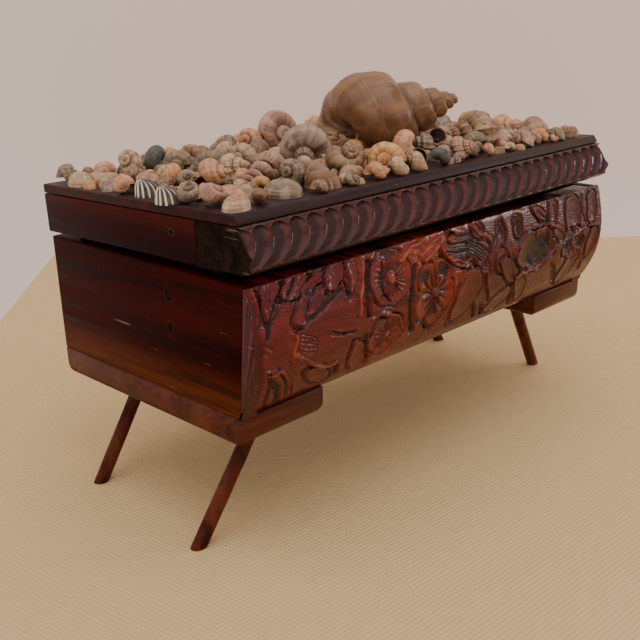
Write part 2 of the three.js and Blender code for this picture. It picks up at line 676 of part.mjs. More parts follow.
// Sites lie on a staggered grid; a cluster takes the free sites nearest to its start, one next to another
function cluster(made, taken, start, count) {
  const rowPitch = smallShellPitch * Math.sqrt(3) / 2;
  const siteAt = (i, j) => [start.x + (i + (j % 2 ? 0.5 : 0)) * smallShellPitch, start.y + j * rowPitch];
  const neighbours = (i, j) => {
    const shift = j % 2 ? 1 : 0;
    return [[i - 1, j], [i + 1, j], [i - 1 + shift, j - 1], [i + shift, j - 1], [i - 1 + shift, j + 1], [i + shift, j + 1]];
  };
  const open = [[0, 0]];
  const seen = new Set(['0,0']);
  const chosen = [];
  while (open.length && chosen.length < count) {
    const [i, j] = open.shift();
    const [x, y] = siteAt(i, j);
    const apart = [...taken].every(([tx, ty]) => Math.hypot(tx - x, ty - y) >= smallShell + shellSpacing);
    const free = apart && isFree(made, x, y);
    if (!free && chosen.length) continue; // before the first one fits, the search spreads over taken sites
    if (!free && Math.hypot(x, y) > boxLength) continue;
    if (free) chosen.push([x, y]);
    for (const next of neighbours(i, j)) {
      if (seen.has(next.join())) continue;
      seen.add(next.join());
      open.push(next);
    }
  }
  let whole = null;
  chosen.forEach(([x, y], k) => {
    const size = smallShell * (1 - 0.12 * (k % 3) / 2);
    const height = smallShellHeight * (0.85 + 0.3 * ((k * 5) % 7) / 6);
    const one = valve({ length: size, width: size * 0.94, height, ribs: 0, beak: 0.3, rings: [1, 0.7] });
    one.rotateZ(rad(67 * k));
    one.translate(x, y, shellGap);
    const solid = toSolid(one);
    whole = whole ? whole.add(solid) : solid;
  });
  for (const site of chosen) taken.add(site);
  return toGeometry(whole.simplify(shellFineness));
}

// Nudges the shells apart in the plane of the board until none touches another
function spread(made) {
  const rounds = 400;
  for (let round = 0; round < rounds; round++) {
    let moved = false;
    for (let a = 0; a < made.length; a++) {
      for (let b = a + 1; b < made.length; b++) moved = partPair(made[a], made[b]) || moved;
      keepOnBoard(made[a]);
    }
    if (!moved) return;
  }
}

function partPair(one, other) {
  let moved = false;
  for (const p of one.balls) {
    for (const q of other.balls) {
      const away = new THREE.Vector2(
        other.at.x + q.middle.x - one.at.x - p.middle.x, other.at.y + q.middle.y - one.at.y - p.middle.y);
      const rise = q.middle.z - p.middle.z;
      const wanted = p.radius + q.radius + shellSpacing;
      const flat = Math.sqrt(Math.max(0, wanted * wanted - rise * rise));
      const short = flat - away.length();
      if (short <= 0) continue;
      const weight = one.name === 'shell_whelk' ? 0 : 0.5;
      away.normalize();
      one.at.addScaledVector(away, -short * weight * 0.5);
      other.at.addScaledVector(away, short * (1 - weight) * 0.5);
      moved = moved || short > 0.01;
    }
  }
  return moved;
}

function keepOnBoard(shell) {
  for (const ball of shell.balls) {
    const edge = halfLength - shellMargin - ball.radius;
    const back = lidBack - shellMargin - ball.radius;
    const front = -lidFrontEdge + shellMargin + ball.radius;
    const x = shell.at.x + ball.middle.x;
    const y = shell.at.y + ball.middle.y;
    shell.at.x += THREE.MathUtils.clamp(x, -edge, edge) - x;
    shell.at.y += THREE.MathUtils.clamp(y, front, back) - y;
  }
}

bodyBoards();
cleatsAndLegs();
lidBoards();
shellPieces();

// The origin is under the middle of the whole piece, on the ground
root.updateMatrixWorld(true);
const whole = new THREE.Box3().setFromObject(root, true);
root.position.set(-(whole.min.x + whole.max.x) / 2, -(whole.min.y + whole.max.y) / 2, -whole.min.z);

export default root;
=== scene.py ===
# A small varnished casket on four dowel legs. Its front is carved, and its lid is covered with sea shells.
# Shapes are worked out in millimetres and turned to metres when a piece is finished.
import math
import random

import bmesh
import bpy
import numpy as np
from mathutils import Matrix, Vector, noise
from mathutils.kdtree import KDTree


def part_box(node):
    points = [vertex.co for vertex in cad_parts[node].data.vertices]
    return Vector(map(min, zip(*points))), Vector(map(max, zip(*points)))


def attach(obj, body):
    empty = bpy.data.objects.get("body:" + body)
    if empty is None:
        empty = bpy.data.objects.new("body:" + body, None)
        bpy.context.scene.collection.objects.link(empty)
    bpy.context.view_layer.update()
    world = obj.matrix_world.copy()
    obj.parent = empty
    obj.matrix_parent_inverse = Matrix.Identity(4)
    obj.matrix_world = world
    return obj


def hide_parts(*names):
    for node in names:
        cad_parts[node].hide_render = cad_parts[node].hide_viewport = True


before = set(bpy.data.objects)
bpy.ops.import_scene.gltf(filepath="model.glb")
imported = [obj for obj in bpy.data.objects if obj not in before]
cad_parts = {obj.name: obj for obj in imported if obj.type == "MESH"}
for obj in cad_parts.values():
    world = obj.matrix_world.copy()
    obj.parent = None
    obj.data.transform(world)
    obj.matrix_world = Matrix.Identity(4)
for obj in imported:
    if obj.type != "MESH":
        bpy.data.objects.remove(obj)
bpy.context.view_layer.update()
mm = 0.001


def boxInMm(node):
    low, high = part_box(node)
    return low / mm, high / mm


leftLow, leftHigh = boxInMm("body_end_left")
rightHigh = boxInMm("body_end_right")[1]
lidLow, lidHigh = boxInMm("lid_top_board")
halfLength = (rightHigh.x - leftLow.x) / 2
middleX = (rightHigh.x + leftLow.x) / 2
bodyFloor = leftLow.z
rim = leftHigh.z
print("frame loaded")


# Node helpers

def addNode(tree, kind, inputs=None, **settings):
    made = tree.nodes.new(kind)
    for name, value in settings.items():
        setattr(made, name, value)
    for name, value in (inputs or {}).items():
        if isinstance(value, bpy.types.NodeSocket):
            tree.links.new(value, made.inputs[name])
        else:
            made.inputs[name].default_value = value
    return made


def mathNode(tree, operation, first, second=0.0, third=0.0):
    made = addNode(tree, "ShaderNodeMath", operation=operation)
    for slot, value in zip(made.inputs, (first, second, third)):
        if isinstance(value, bpy.types.NodeSocket):
            tree.links.new(value, slot)
        else:
            slot.default_value = value
    return made.outputs[0]


def spanNode(tree, value, low, high, outLow=0.0, outHigh=1.0):  # a smooth step from low to high
    made = addNode(tree, "ShaderNodeMapRange", interpolation_type="SMOOTHSTEP")
    tree.links.new(value, made.inputs["Value"])
    for name, number in (("From Min", low), ("From Max", high), ("To Min", outLow), ("To Max", outHigh)):
        made.inputs[name].default_value = number
    return made.outputs["Result"]


def mixColours(tree, share, first, second, blend="MIX"):
    made = addNode(tree, "ShaderNodeMix", data_type="RGBA", blend_type=blend)
    for slot, value in ((made.inputs[0], share), (made.inputs[6], first), (made.inputs[7], second)):
        if isinstance(value, bpy.types.NodeSocket):
            tree.links.new(value, slot)
        elif slot is made.inputs[0]:
            slot.default_value = value
        else:
            slot.default_value = (*value, 1)
    return made.outputs[2]


def newMaterial(name, roughness, **uniform):
    material = bpy.data.materials.new(name)
    material.use_nodes = True
    tree = material.node_tree
    shader = tree.nodes["Principled BSDF"]
    shader.inputs["Roughness"].default_value = roughness
    for socket, value in uniform.items():
        shader.inputs[socket].default_value = value
    return material, tree, shader


def newGroup(name, inputs, outputs):
    group = bpy.data.node_groups.new(name, "ShaderNodeTree")
    for socket, (kind, value) in inputs.items():
        made = group.interface.new_socket(socket, in_out="INPUT", socket_type=kind)
        if value is not None:
            made.default_value = value
    for socket, kind in outputs.items():
        group.interface.new_socket(socket, in_out="OUTPUT", socket_type=kind)
    source = group.nodes.new("NodeGroupInput")
    target = group.nodes.new("NodeGroupOutput")
    return group, source.outputs, target.inputs


def useGroup(tree, group, **inputs):
    made = addNode(tree, "ShaderNodeGroup", node_tree=group)
    for name, value in inputs.items():
        if isinstance(value, bpy.types.NodeSocket):
            tree.links.new(value, made.inputs[name])
        else:
            made.inputs[name].default_value = value
    return made.outputs


def bumpOn(tree, shader, height, distance, strength=1.0):
    bump = addNode(tree, "ShaderNodeBump", {
        "Height": height, "Distance": distance * mm, "Strength": strength})
    tree.links.new(bump.outputs["Normal"], shader.inputs["Normal"])


def objectPlace(tree):
    return addNode(tree, "ShaderNodeTexCoord").outputs["Object"]


def axesOf(tree, vector):
    return addNode(tree, "ShaderNodeSeparateXYZ", {"Vector": vector}).outputs


def attributeNode(tree, name):
    return addNode(tree, "ShaderNodeAttribute", attribute_name=name).outputs


def noiseNode(tree, vector, scale, detail, roughness=0.5, distortion=0.0):
    made = addNode(tree, "ShaderNodeTexNoise", {
        "Vector": vector, "Scale": scale, "Detail": detail, "Roughness": roughness, "Distortion": distortion})
    return made.outputs["Fac"]


def stained(tree, colour, mask, amount, stain):  # the colour with some of the stain where the mask is
    return mixColours(tree, mathNode(tree, "MULTIPLY", mask, amount), colour, stain)


# Shared effects

def makeGrainGroup():  # wood grain: the vector is stretched along the fibres before it comes in
    group, given, result = newGroup(
        "woodGrain",
        {"Vector": ("NodeSocketVector", None), "Fineness": ("NodeSocketFloat", 900.0)},
        {"Fibres": "NodeSocketFloat", "Streaks": "NodeSocketFloat", "Patches": "NodeSocketFloat"},
    )
    layers = (  # name, share of the fineness, detail, roughness, distortion
        ("Fibres", 1.0, 4.0, 0.65, 0.3), ("Streaks", 0.22, 3.0, 0.6, 0.8), ("Patches", 0.045, 4.0, 0.6, 0.4),
    )
    for name, share, detail, roughness, distortion in layers:
        scale = mathNode(group, "MULTIPLY", given["Fineness"], share)
        made = noiseNode(group, given["Vector"], scale, detail, roughness, distortion)
        group.links.new(made, result[name])
    return group


def makeWearGroup():  # edges rubbed lighter, broken up by noise
    group, given, result = newGroup(
        "edgeWear",
        {"Vector": ("NodeSocketVector", None), "Width": ("NodeSocketFloat", 0.8 * mm),
         "Amount": ("NodeSocketFloat", 0.7)},
        {"Wear": "NodeSocketFloat"},
    )
    rounded = addNode(group, "ShaderNodeBevel", {"Radius": given["Width"]}, samples=6)
    real = addNode(group, "ShaderNodeNewGeometry")
    alike = addNode(group, "ShaderNodeVectorMath", operation="DOT_PRODUCT")
    group.links.new(rounded.outputs["Normal"], alike.inputs[0])
    group.links.new(real.outputs["Normal"], alike.inputs[1])
    edge = spanNode(group, alike.outputs["Value"], 0.995, 0.86)
    patchy = spanNode(group, noiseNode(group, given["Vector"], 260.0, 5.0, 0.7), 0.34, 0.62)
    worn = mathNode(group, "MULTIPLY", mathNode(group, "MULTIPLY", edge, patchy), given["Amount"])
    group.links.new(worn, result["Wear"])
    return group


def makeScratchGroup():  # thin pale scratches and specks of dust
    group, given, result = newGroup(
        "scratchesAndSpecks",
        {"Vector": ("NodeSocketVector", None), "Specks": ("NodeSocketFloat", 0.5)},
        {"Scratches": "NodeSocketFloat", "Dust": "NodeSocketFloat"},
    )
    turned = addNode(group, "ShaderNodeMapping", {"Vector": given["Vector"], "Rotation": (0.7, 0.5, 0.9),
                                                  "Scale": (1.0, 0.04, 1.0)})
    thin = spanNode(group, noiseNode(group, turned.outputs["Vector"], 900.0, 1.0), 0.71, 0.76)
    some = spanNode(group, noiseNode(group, given["Vector"], 60.0, 2.0), 0.52, 0.66)
    group.links.new(mathNode(group, "MULTIPLY", thin, some), result["Scratches"])
    dots = addNode(group, "ShaderNodeTexVoronoi", {"Vector": given["Vector"], "Scale": 520.0})
    dot = spanNode(group, dots.outputs["Distance"], 0.16, 0.05)
    group.links.new(mathNode(group, "MULTIPLY", mathNode(group, "MULTIPLY", dot, some), given["Specks"]),
                    result["Dust"])
    return group


def makeCreviceShadeGroup():  # painted shade and dirt where two forms meet, darkened by ambient occlusion
    group, given, result = newGroup(
        "creviceShadeAndDirt",
        {"Distance": ("NodeSocketFloat", 2.5 * mm), "Amount": ("NodeSocketFloat", 0.8)},
        {"ShadeAndDirt": "NodeSocketFloat"},
    )
    closed = addNode(group, "ShaderNodeAmbientOcclusion", {"Distance": given["Distance"]}, samples=6)
    shadeAndDirt = spanNode(group, closed.outputs["AO"], 0.85, 0.25)
    group.links.new(mathNode(group, "MULTIPLY", shadeAndDirt, given["Amount"]), result["ShadeAndDirt"])
    return group


def makeSlitGroup():  # an oval hole in the left side, painted near black as the shade inside it, and the rim round it
    group, given, result = newGroup(
        "slitMask",
        {"Vector": ("NodeSocketVector", None), "Y": ("NodeSocketFloat", 0.0), "Z": ("NodeSocketFloat", 0.0),
         "Width": ("NodeSocketFloat", 1.0), "Height": ("NodeSocketFloat", 1.0)},
        {"HoleShade": "NodeSocketFloat", "Around": "NodeSocketFloat"},
    )
    axes = axesOf(group, given["Vector"])
    across = mathNode(group, "DIVIDE", mathNode(group, "SUBTRACT", axes["Y"], given["Y"]), given["Width"])
    rise = mathNode(group, "DIVIDE", mathNode(group, "SUBTRACT", axes["Z"], given["Z"]), given["Height"])
    squares = [mathNode(group, "MULTIPLY", side, side) for side in (across, rise)]
    away = mathNode(group, "ADD", *squares)
    left = mathNode(group, "LESS_THAN", axes["X"], 0.0)
    for name, low, high in (("HoleShade", 1.3, 0.7), ("Around", 2.6, 1.2)):
        group.links.new(mathNode(group, "MULTIPLY", spanNode(group, away, low, high), left), result[name])
    return group


grainGroup = makeGrainGroup()
wearGroup = makeWearGroup()
scratchGroup = makeScratchGroup()
creviceShadeGroup = makeCreviceShadeGroup()
slitGroup = makeSlitGroup()


# What all the wood shares
# slit is the near-black painted shade inside the holes and cracks of the left side
wood = {"streakBump": 1.5, "duller": 0.12, "shinier": 0.08, "slit": (0.003, 0.0015, 0.001),
        "plainDust": (0.42, 0.34, 0.3), "carvedDust": (0.45, 0.36, 0.33), "carvedFibres": (0.06, 1.0, 1.0)}


def startWood(name, look, fibres):  # fibres: the number along the grain is small
    material, tree, shader = newMaterial(name, look["roughness"], **{
        "Coat Weight": look["coat"], "Coat Roughness": look["coatRoughness"],
        "Specular IOR Level": look["mirror"]})
    place = objectPlace(tree)
    stretched = addNode(tree, "ShaderNodeMapping", {"Vector": place, "Scale": fibres})
    grain = useGroup(tree, grainGroup, Vector=stretched.outputs["Vector"], Fineness=look["fineness"])
    return material, tree, shader, place, grain


def finishWood(tree, shader, place, grain, look, colour, dust):
    marks = useGroup(tree, scratchGroup, Vector=place, Specks=look["specks"])
    pale = mathNode(tree, "MAXIMUM", marks["Scratches"], marks["Dust"])
    tree.links.new(stained(tree, colour, pale, look["scratches"], dust), shader.inputs["Base Color"])
    sheen = spanNode(tree, grain["Streaks"], 0.3, 0.7,
                     look["roughness"] - wood["shinier"], look["roughness"] + wood["duller"])
    tree.links.new(sheen, shader.inputs["Roughness"])
    raised = mathNode(tree, "MULTIPLY", grain["Streaks"], wood["streakBump"])
    bumpOn(tree, shader, mathNode(tree, "ADD", grain["Fibres"], raised), look["bump"])


def varnishedWood(name, look):
    material, tree, shader, place, grain = startWood(name, look, look["fibres"])
    axes = axesOf(tree, place)
    wear = useGroup(tree, wearGroup, Vector=place, Width=look["wearWidth"] * mm, Amount=look["wear"])
    streak = spanNode(tree, grain["Streaks"], 0.36, 0.64)
    colour = mixColours(tree, streak, look["dark"], look["middle"])
    patch = spanNode(tree, grain["Patches"], 0.44, 0.7)
    colour = stained(tree, colour, patch, look["patches"], look["light"])
    colour = stained(tree, colour, spanNode(tree, grain["Fibres"], 0.5, 0.72), 0.45, look["dark"])
    if "glow" in look:  # the varnish is thin along the foot, and the wood shows
        low = spanNode(tree, axes["Z"], look["glowTop"] * mm, look["glowFoot"] * mm)
        share = mathNode(tree, "MULTIPLY", low, spanNode(tree, grain["Streaks"], 0.3, 0.6, 0.25, 0.9))
        colour = mixColours(tree, share, colour, look["glow"])
    colour = mixColours(tree, wear["Wear"], colour, look["worn"])
    if "endFace" in look:
        outer = spanNode(tree, axes["X"], (lidLow.x + 0.9) * mm, (lidLow.x + 0.5) * mm)
        sawn = mixColours(tree, streak, look["endFace"], look["endFaceLight"])
        colour = mixColours(tree, outer, colour, sawn)
    for y, z, wide, high in look.get("slits", ()):  # on the left side
        slit = useGroup(tree, slitGroup, Vector=place, Y=y * mm, Z=z * mm, Width=wide * mm, Height=high * mm)
        colour = stained(tree, colour, slit["Around"], look["slitRimShare"], look["slitRim"])
        # painted shade: each hole and crack is filled with near black
        colour = mixColours(tree, slit["HoleShade"], colour, wood["slit"])
    finishWood(tree, shader, place, grain, look, colour, wood["plainDust"])
    return material


# Each look says only where it differs from the plain one
plainLook = dict(fibres=(0.05, 1.0, 1.0), fineness=850.0, patches=0.6, wear=0.6, wearWidth=0.9, bump=0.1)
woodLooks = {
    "endBoards": dict(
        fibres=(1.0, 0.05, 1.0), fineness=900.0, roughness=0.4, mirror=0.03, coat=0.0,
        coatRoughness=0.25, dark=(0.012, 0.0016, 0.0014), middle=(0.04, 0.0026, 0.0016),
        light=(0.07, 0.0065, 0.0026), worn=(0.16, 0.04, 0.014), glow=(0.13, 0.034, 0.011), glowTop=79.0,
        glowFoot=62.0, patches=0.5, wear=0.5, wearWidth=0.8, specks=0.35, scratches=0.3,
        slitRim=(0.13, 0.05, 0.03), slitRimShare=0.14,
        slits=(
            (29.5, 95.0, 0.3, 8.0), (31.2, 85.0, 0.25, 4.0), (-16.2, 102.0, 0.9, 3.0),
            (-17.6, 100.2, 1.5, 0.9), (-16.8, 88.0, 1.3, 2.4), (-28.5, 103.5, 0.35, 3.5),
            (-35.5, 101.0, 0.3, 4.5), (-27.0, 84.0, 0.25, 5.0), (-49.0, 92.0, 0.22, 12.0),
        ),
    ),
    "lidEnds": dict(
        fibres=(1.0, 0.05, 1.0), fineness=800.0, roughness=0.38, mirror=0.04, coat=0.02,
        coatRoughness=0.2, dark=(0.01, 0.002, 0.002), middle=(0.024, 0.002, 0.0022),
        light=(0.048, 0.0045, 0.0032), worn=(0.2, 0.035, 0.012), glow=(0.07, 0.008, 0.005),
        glowTop=124.0, glowFoot=134.0, specks=0.4, scratches=0.22, slitRim=(0.08, 0.07, 0.045),
        slitRimShare=0.45, slits=((-22.0, 127.0, 1.5, 1.0), (-19.6, 127.6, 1.2, 0.5)),
    ),
    "lidTop": dict(
        roughness=0.5, mirror=0.15, coat=0.03, coatRoughness=0.35, dark=(0.018, 0.008, 0.009),
        middle=(0.042, 0.018, 0.018), endFace=(0.012, 0.002, 0.002), endFaceLight=(0.05, 0.006, 0.004),
        light=(0.085, 0.04, 0.036), worn=(0.18, 0.045, 0.025), specks=0.7, scratches=0.5,
        bump=0.15,
    ),
    "feet": dict(
        roughness=0.36, mirror=0.12, coat=0.05, coatRoughness=0.22, dark=(0.045, 0.011, 0.006),
        middle=(0.105, 0.023, 0.01), light=(0.16, 0.04, 0.015), worn=(0.28, 0.09, 0.035), wearWidth=0.8,
        specks=0.3, scratches=0.25,
    ),
    "legs": dict(
        fibres=(1.0, 1.0, 0.05), fineness=900.0, roughness=0.32, mirror=0.07, coat=0.04,
        coatRoughness=0.2, dark=(0.03, 0.006, 0.003), middle=(0.085, 0.014, 0.006),
        light=(0.18, 0.045, 0.015), worn=(0.28, 0.085, 0.03), patches=0.7, wearWidth=0.6, specks=0.2,
        scratches=0.25,
    ),
    "hiddenBoards": dict(
        roughness=0.45, mirror=0.12, coat=0.03, coatRoughness=0.3, dark=(0.02, 0.006, 0.005),
        middle=(0.06, 0.012, 0.008), light=(0.1, 0.028, 0.014), worn=(0.2, 0.07, 0.03), specks=0.4,
        scratches=0.3, bump=0.15,
    ),
}
woods = {name: varnishedWood(name + "Wood", {**plainLook, **look}) for name, look in woodLooks.items()}


# The carved and fluted pieces carry how high each place stands, from 0 in a cut to 1 on a worn edge
def carvedWood(name, look):
    material, tree, shader, place, grain = startWood(name, look, wood["carvedFibres"])
    axes = axesOf(tree, place)
    relief = attributeNode(tree, "relief")["Fac"]
    tint = attributeNode(tree, "tint")["Fac"]
    drift = 20 * mm  # half of how far the grain moves the colours along the piece
    wander = mathNode(tree, "MULTIPLY_ADD", grain["Patches"], 2 * drift, axes["X"])
    ramp = addNode(tree, "ShaderNodeValToRGB")
    elements = ramp.color_ramp.elements
    elements.remove(elements[0])
    for number, (share, colourThere) in enumerate(look["along"]):  # from the left end to the right
        element = elements[0] if number == 0 else elements.new(share)
        element.position = share
        element.color = (*colourThere, 1)
    leftEnd, rightEnd = (middleX - halfLength) * mm + drift, (middleX + halfLength) * mm + drift
    tree.links.new(spanNode(tree, wander, leftEnd, rightEnd), ramp.inputs["Fac"])
    colour = ramp.outputs["Color"]
    colour = stained(tree, colour, spanNode(tree, grain["Streaks"], 0.38, 0.66), 0.55, look["dark"])
    low = spanNode(tree, axes["Z"], look["lowTop"] * mm, look["lowFoot"] * mm)
    colour = stained(tree, colour, low, 0.75, look["low"])
    # painted shade: low places in the relief, the cuts on the panel and the scoops of the flutes, are
    # coloured near black, where shade falls
    cut = spanNode(tree, relief, look["cutShadeFrom"], look["cutShadeTo"])
    colour = stained(tree, colour, cut, 0.9, look["cut"])
    # on the panel the tint is the orange where the varnish is thin; on the moulding it is painted light on
    # the lit side of each flute
    colour = stained(tree, colour, tint, 0.85, look["tintedAndLit"])
    raised = spanNode(tree, relief, look["wornFrom"], look["wornTo"])
    patchy = spanNode(tree, noiseNode(tree, place, 75.0, 5.0, 0.65), 0.36, 0.62)
    colour = stained(tree, colour, mathNode(tree, "MULTIPLY", raised, patchy), look["wear"], look["worn"])
    if "endGrain" in look:  # sawn ends are dull
        facing = axesOf(tree, addNode(tree, "ShaderNodeNewGeometry").outputs["Normal"])
        sawn = spanNode(tree, mathNode(tree, "ABSOLUTE", facing["X"]), 0.9, 0.97)
        rough = spanNode(tree, grain["Streaks"], 0.35, 0.65)
        ends = mixColours(tree, rough, look["endGrain"], look["endGrainLight"])
        colour = mixColours(tree, sawn, colour, ends)
        for socket, value in (("Coat Weight", look["coat"]), ("Specular IOR Level", look["mirror"])):
            tree.links.new(spanNode(tree, sawn, 0.0, 1.0, value, 0.02), shader.inputs[socket])
    finishWood(tree, shader, place, grain, look, colour, wood["carvedDust"])
    return material


carvedLooks = {
    "panel": dict(
        roughness=0.26, mirror=0.14, coat=0.26, coatRoughness=0.06, fineness=900.0, specks=0.3,
        scratches=0.3,
        along=(
            (0.0, (0.14, 0.01, 0.014)), (0.22, (0.13, 0.01, 0.012)), (0.34, (0.2, 0.022, 0.007)),
            (0.46, (0.22, 0.018, 0.006)), (0.56, (0.1, 0.006, 0.004)), (1.0, (0.08, 0.006, 0.005)),
        ),
        dark=(0.02, 0.003, 0.002), low=(0.09, 0.016, 0.008), lowTop=92.0, lowFoot=70.0,
        # cut is the painted shade in the carved cuts
        cut=(0.008, 0.002, 0.002), cutShadeFrom=0.56, cutShadeTo=0.2, worn=(0.5, 0.12, 0.045), wornFrom=0.78,
        wornTo=1.0, tintedAndLit=(0.34, 0.035, 0.006), wear=0.75, bump=0.1,
    ),
    "moulding": dict(
        roughness=0.26, mirror=0.1, coat=0.22, coatRoughness=0.06, fineness=900.0, specks=0.4,
        scratches=0.3,
        along=(
            (0.0, (0.04, 0.013, 0.012)), (0.2, (0.045, 0.012, 0.012)), (0.5, (0.036, 0.012, 0.012)),
            (0.8, (0.036, 0.013, 0.014)), (1.0, (0.033, 0.013, 0.014)),
        ),
        dark=(0.02, 0.009, 0.01), low=(0.05, 0.024, 0.014), lowTop=121.0, lowFoot=117.5,
        # cut is the painted shade in the scoops of the flutes
        cut=(0.022, 0.009, 0.01), cutShadeFrom=0.5, cutShadeTo=0.0, worn=(0.17, 0.07, 0.045), wornFrom=0.86,
        # the tinted colour here is painted light on the lit side of the flutes
        wornTo=1.0, tintedAndLit=(0.11, 0.009, 0.006), wear=0.7, bump=0.1, endGrain=(0.006, 0.0025, 0.0016),
        endGrainLight=(0.022, 0.009, 0.005),
    ),
}
carvedMaterials = {name: carvedWood(name + "Wood", look) for name, look in carvedLooks.items()}
print("wood materials made")


# Finishing a piece

def finishPiece(mesh, name, nodes, materials, sharpAngle=40.0):
    bmesh.ops.scale(mesh, vec=(mm, mm, mm), verts=mesh.verts)
    for face in mesh.faces:
        face.smooth = True
    data = bpy.data.meshes.new(name)
    mesh.to_mesh(data)
    mesh.free()
    data.set_sharp_from_angle(angle=math.radians(sharpAngle))
    piece = bpy.data.objects.new(name, data)
    bpy.context.scene.collection.objects.link(piece)
    for material in materials:
        data.materials.append(material)
    if nodes:
        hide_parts(*nodes)
    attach(piece, "root")
    return piece


# Plain boards: the CAD's own solids with their edges broken. Node, slot, look, rounding
boards = {
    "endLeft": ("body_end_left", "body_wood", "endBoards", 0.7),
    "endRight": ("body_end_right", "body_wood", "endBoards", 0.7),
    "backBoard": ("body_back_board", "body_wood", "hiddenBoards", 0.5),
    "floorBoard": ("body_floor_board", "base_wood", "hiddenBoards", 0.4),
    "cleatLeft": ("cleat_left", "base_wood", "feet", 0.6),
    "cleatRight": ("cleat_right", "base_wood", "feet", 0.6),
    "lidEndLeft": ("lid_end_left", "lid_wood", "lidEnds", 0.5),
    "lidEndRight": ("lid_end_right", "lid_wood", "lidEnds", 0.5),
    "lidBackBoard": ("lid_back_board", "lid_wood", "hiddenBoards", 0.5),
    "lidLipLeft": ("lid_lip_left", "base_wood", "hiddenBoards", 0.4),
    "lidLipRight": ("lid_lip_right", "base_wood", "hiddenBoards", 0.4),
    "lidTopBoard": ("lid_top_board", "lid_wood", "lidTop", 0.6),
}


sharpEdge = math.radians(30)


def copyOfNode(node):
    mesh = bmesh.new()
    mesh.from_mesh(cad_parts[node].data)
    bmesh.ops.scale(mesh, vec=(1 / mm, 1 / mm, 1 / mm), verts=mesh.verts)
    bmesh.ops.remove_doubles(mesh, verts=mesh.verts, dist=0.01)
    bmesh.ops.dissolve_limit(mesh, angle_limit=math.radians(1), verts=mesh.verts, edges=mesh.edges)
    return mesh


def makeBoard(name, node, slot, look, rounding):
    mesh = copyOfNode(node)
    sharp = [edge for edge in mesh.edges if edge.calc_face_angle(0) > sharpEdge]
    bmesh.ops.bevel(mesh, geom=sharp, offset=rounding, offset_type="OFFSET", segments=2, profile=0.5,
                    affect="EDGES", material=-1)
    finishPiece(mesh, name, [node], [woods[look]])


for boardName, board in boards.items():
    makeBoard(boardName, *board)


# Legs: round rods with whittled feet
leg = dict(diameter=6.3, sides=28, unevenness=0.12, footCut=0.35, lowest=-30, highest=33, ringStep=3)


def makeLeg(node):
    places = [v.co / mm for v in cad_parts[node].data.vertices]
    low = [p for p in places if p.z < 0.01]
    top = max(p.z for p in places)
    high = [p for p in places if p.z > top - leg["diameter"] * 0.75]
    foot = sum(low, Vector()) / len(low)
    neck = sum(high, Vector()) / len(high)
    direction = (neck - foot).normalized()
    length = (neck - foot).length
    mesh = bmesh.new()
    radius = leg["diameter"] / 2
    bmesh.ops.create_cone(mesh, cap_ends=True, cap_tris=False, segments=leg["sides"], radius1=radius,
                          radius2=radius, depth=length + 2 * leg["diameter"])
    for height in range(leg["lowest"], leg["highest"] + 1, leg["ringStep"]):
        bmesh.ops.bisect_plane(mesh, geom=mesh.verts[:] + mesh.edges[:] + mesh.faces[:],
                               plane_co=(0, 0, height), plane_no=(0, 0, 1))
    for vertex in mesh.verts:
        wave = noise.noise(Vector((vertex.co.x * 0.4, vertex.co.y * 0.4, vertex.co.z * 0.12)) + foot)
        vertex.co.xy *= 1 + leg["unevenness"] * wave / leg["diameter"] * 2
    turn = direction.to_track_quat("Z", "Y").to_matrix().to_4x4()
    bmesh.ops.transform(mesh, matrix=Matrix.Translation((foot + neck) / 2) @ turn, verts=mesh.verts)
    for height, side in ((0.0, -1), (top, 1)):
        cut = bmesh.ops.bisect_plane(mesh, geom=mesh.verts[:] + mesh.edges[:] + mesh.faces[:],
                                     plane_co=(0, 0, height), plane_no=(0, 0, side), clear_outer=True)
        edges = [part for part in cut["geom_cut"] if isinstance(part, bmesh.types.BMEdge)]
        bmesh.ops.edgeloop_fill(mesh, edges=edges)
        bmesh.ops.bevel(mesh, geom=edges, offset=leg["footCut"], offset_type="OFFSET", segments=2,
                        profile=0.5, affect="EDGES", material=-1)
    bmesh.ops.recalc_face_normals(mesh, faces=mesh.faces)
    finishPiece(mesh, node.replace("leg_", "leg."), [node], [woods["legs"]])


for corner in ("front_left", "back_left", "front_right", "back_right"):
    makeLeg("leg_" + corner)
print("boards and legs made")


# A skin wrapped round a section: place(along, round) gives each point, both from 0 to 1
def wrappedSection(columns, rounds, place):
    mesh = bmesh.new()
    reliefLayer = mesh.verts.layers.float.new("relief")
    tintLayer = mesh.verts.layers.float.new("tint")
    bmesh.ops.create_grid(mesh, x_segments=columns, y_segments=rounds, size=1)
    for vertex in mesh.verts:
        column = round((vertex.co.x + 1) / 2 * columns)
        step = round((vertex.co.y + 1) / 2 * rounds)
        vertex.co, vertex[reliefLayer], vertex[tintLayer] = place(column, step)
    bmesh.ops.remove_doubles(mesh, verts=mesh.verts, dist=0.002)
    openEdges = [edge for edge in mesh.edges if edge.is_boundary]
    bmesh.ops.edgeloop_fill(mesh, edges=openEdges)
    bmesh.ops.recalc_face_normals(mesh, faces=mesh.faces)
    return mesh


def smooth(low, high, value):
    share = np.clip((value - low) / (high - low), 0, 1)
    return share * share * (3 - 2 * share)
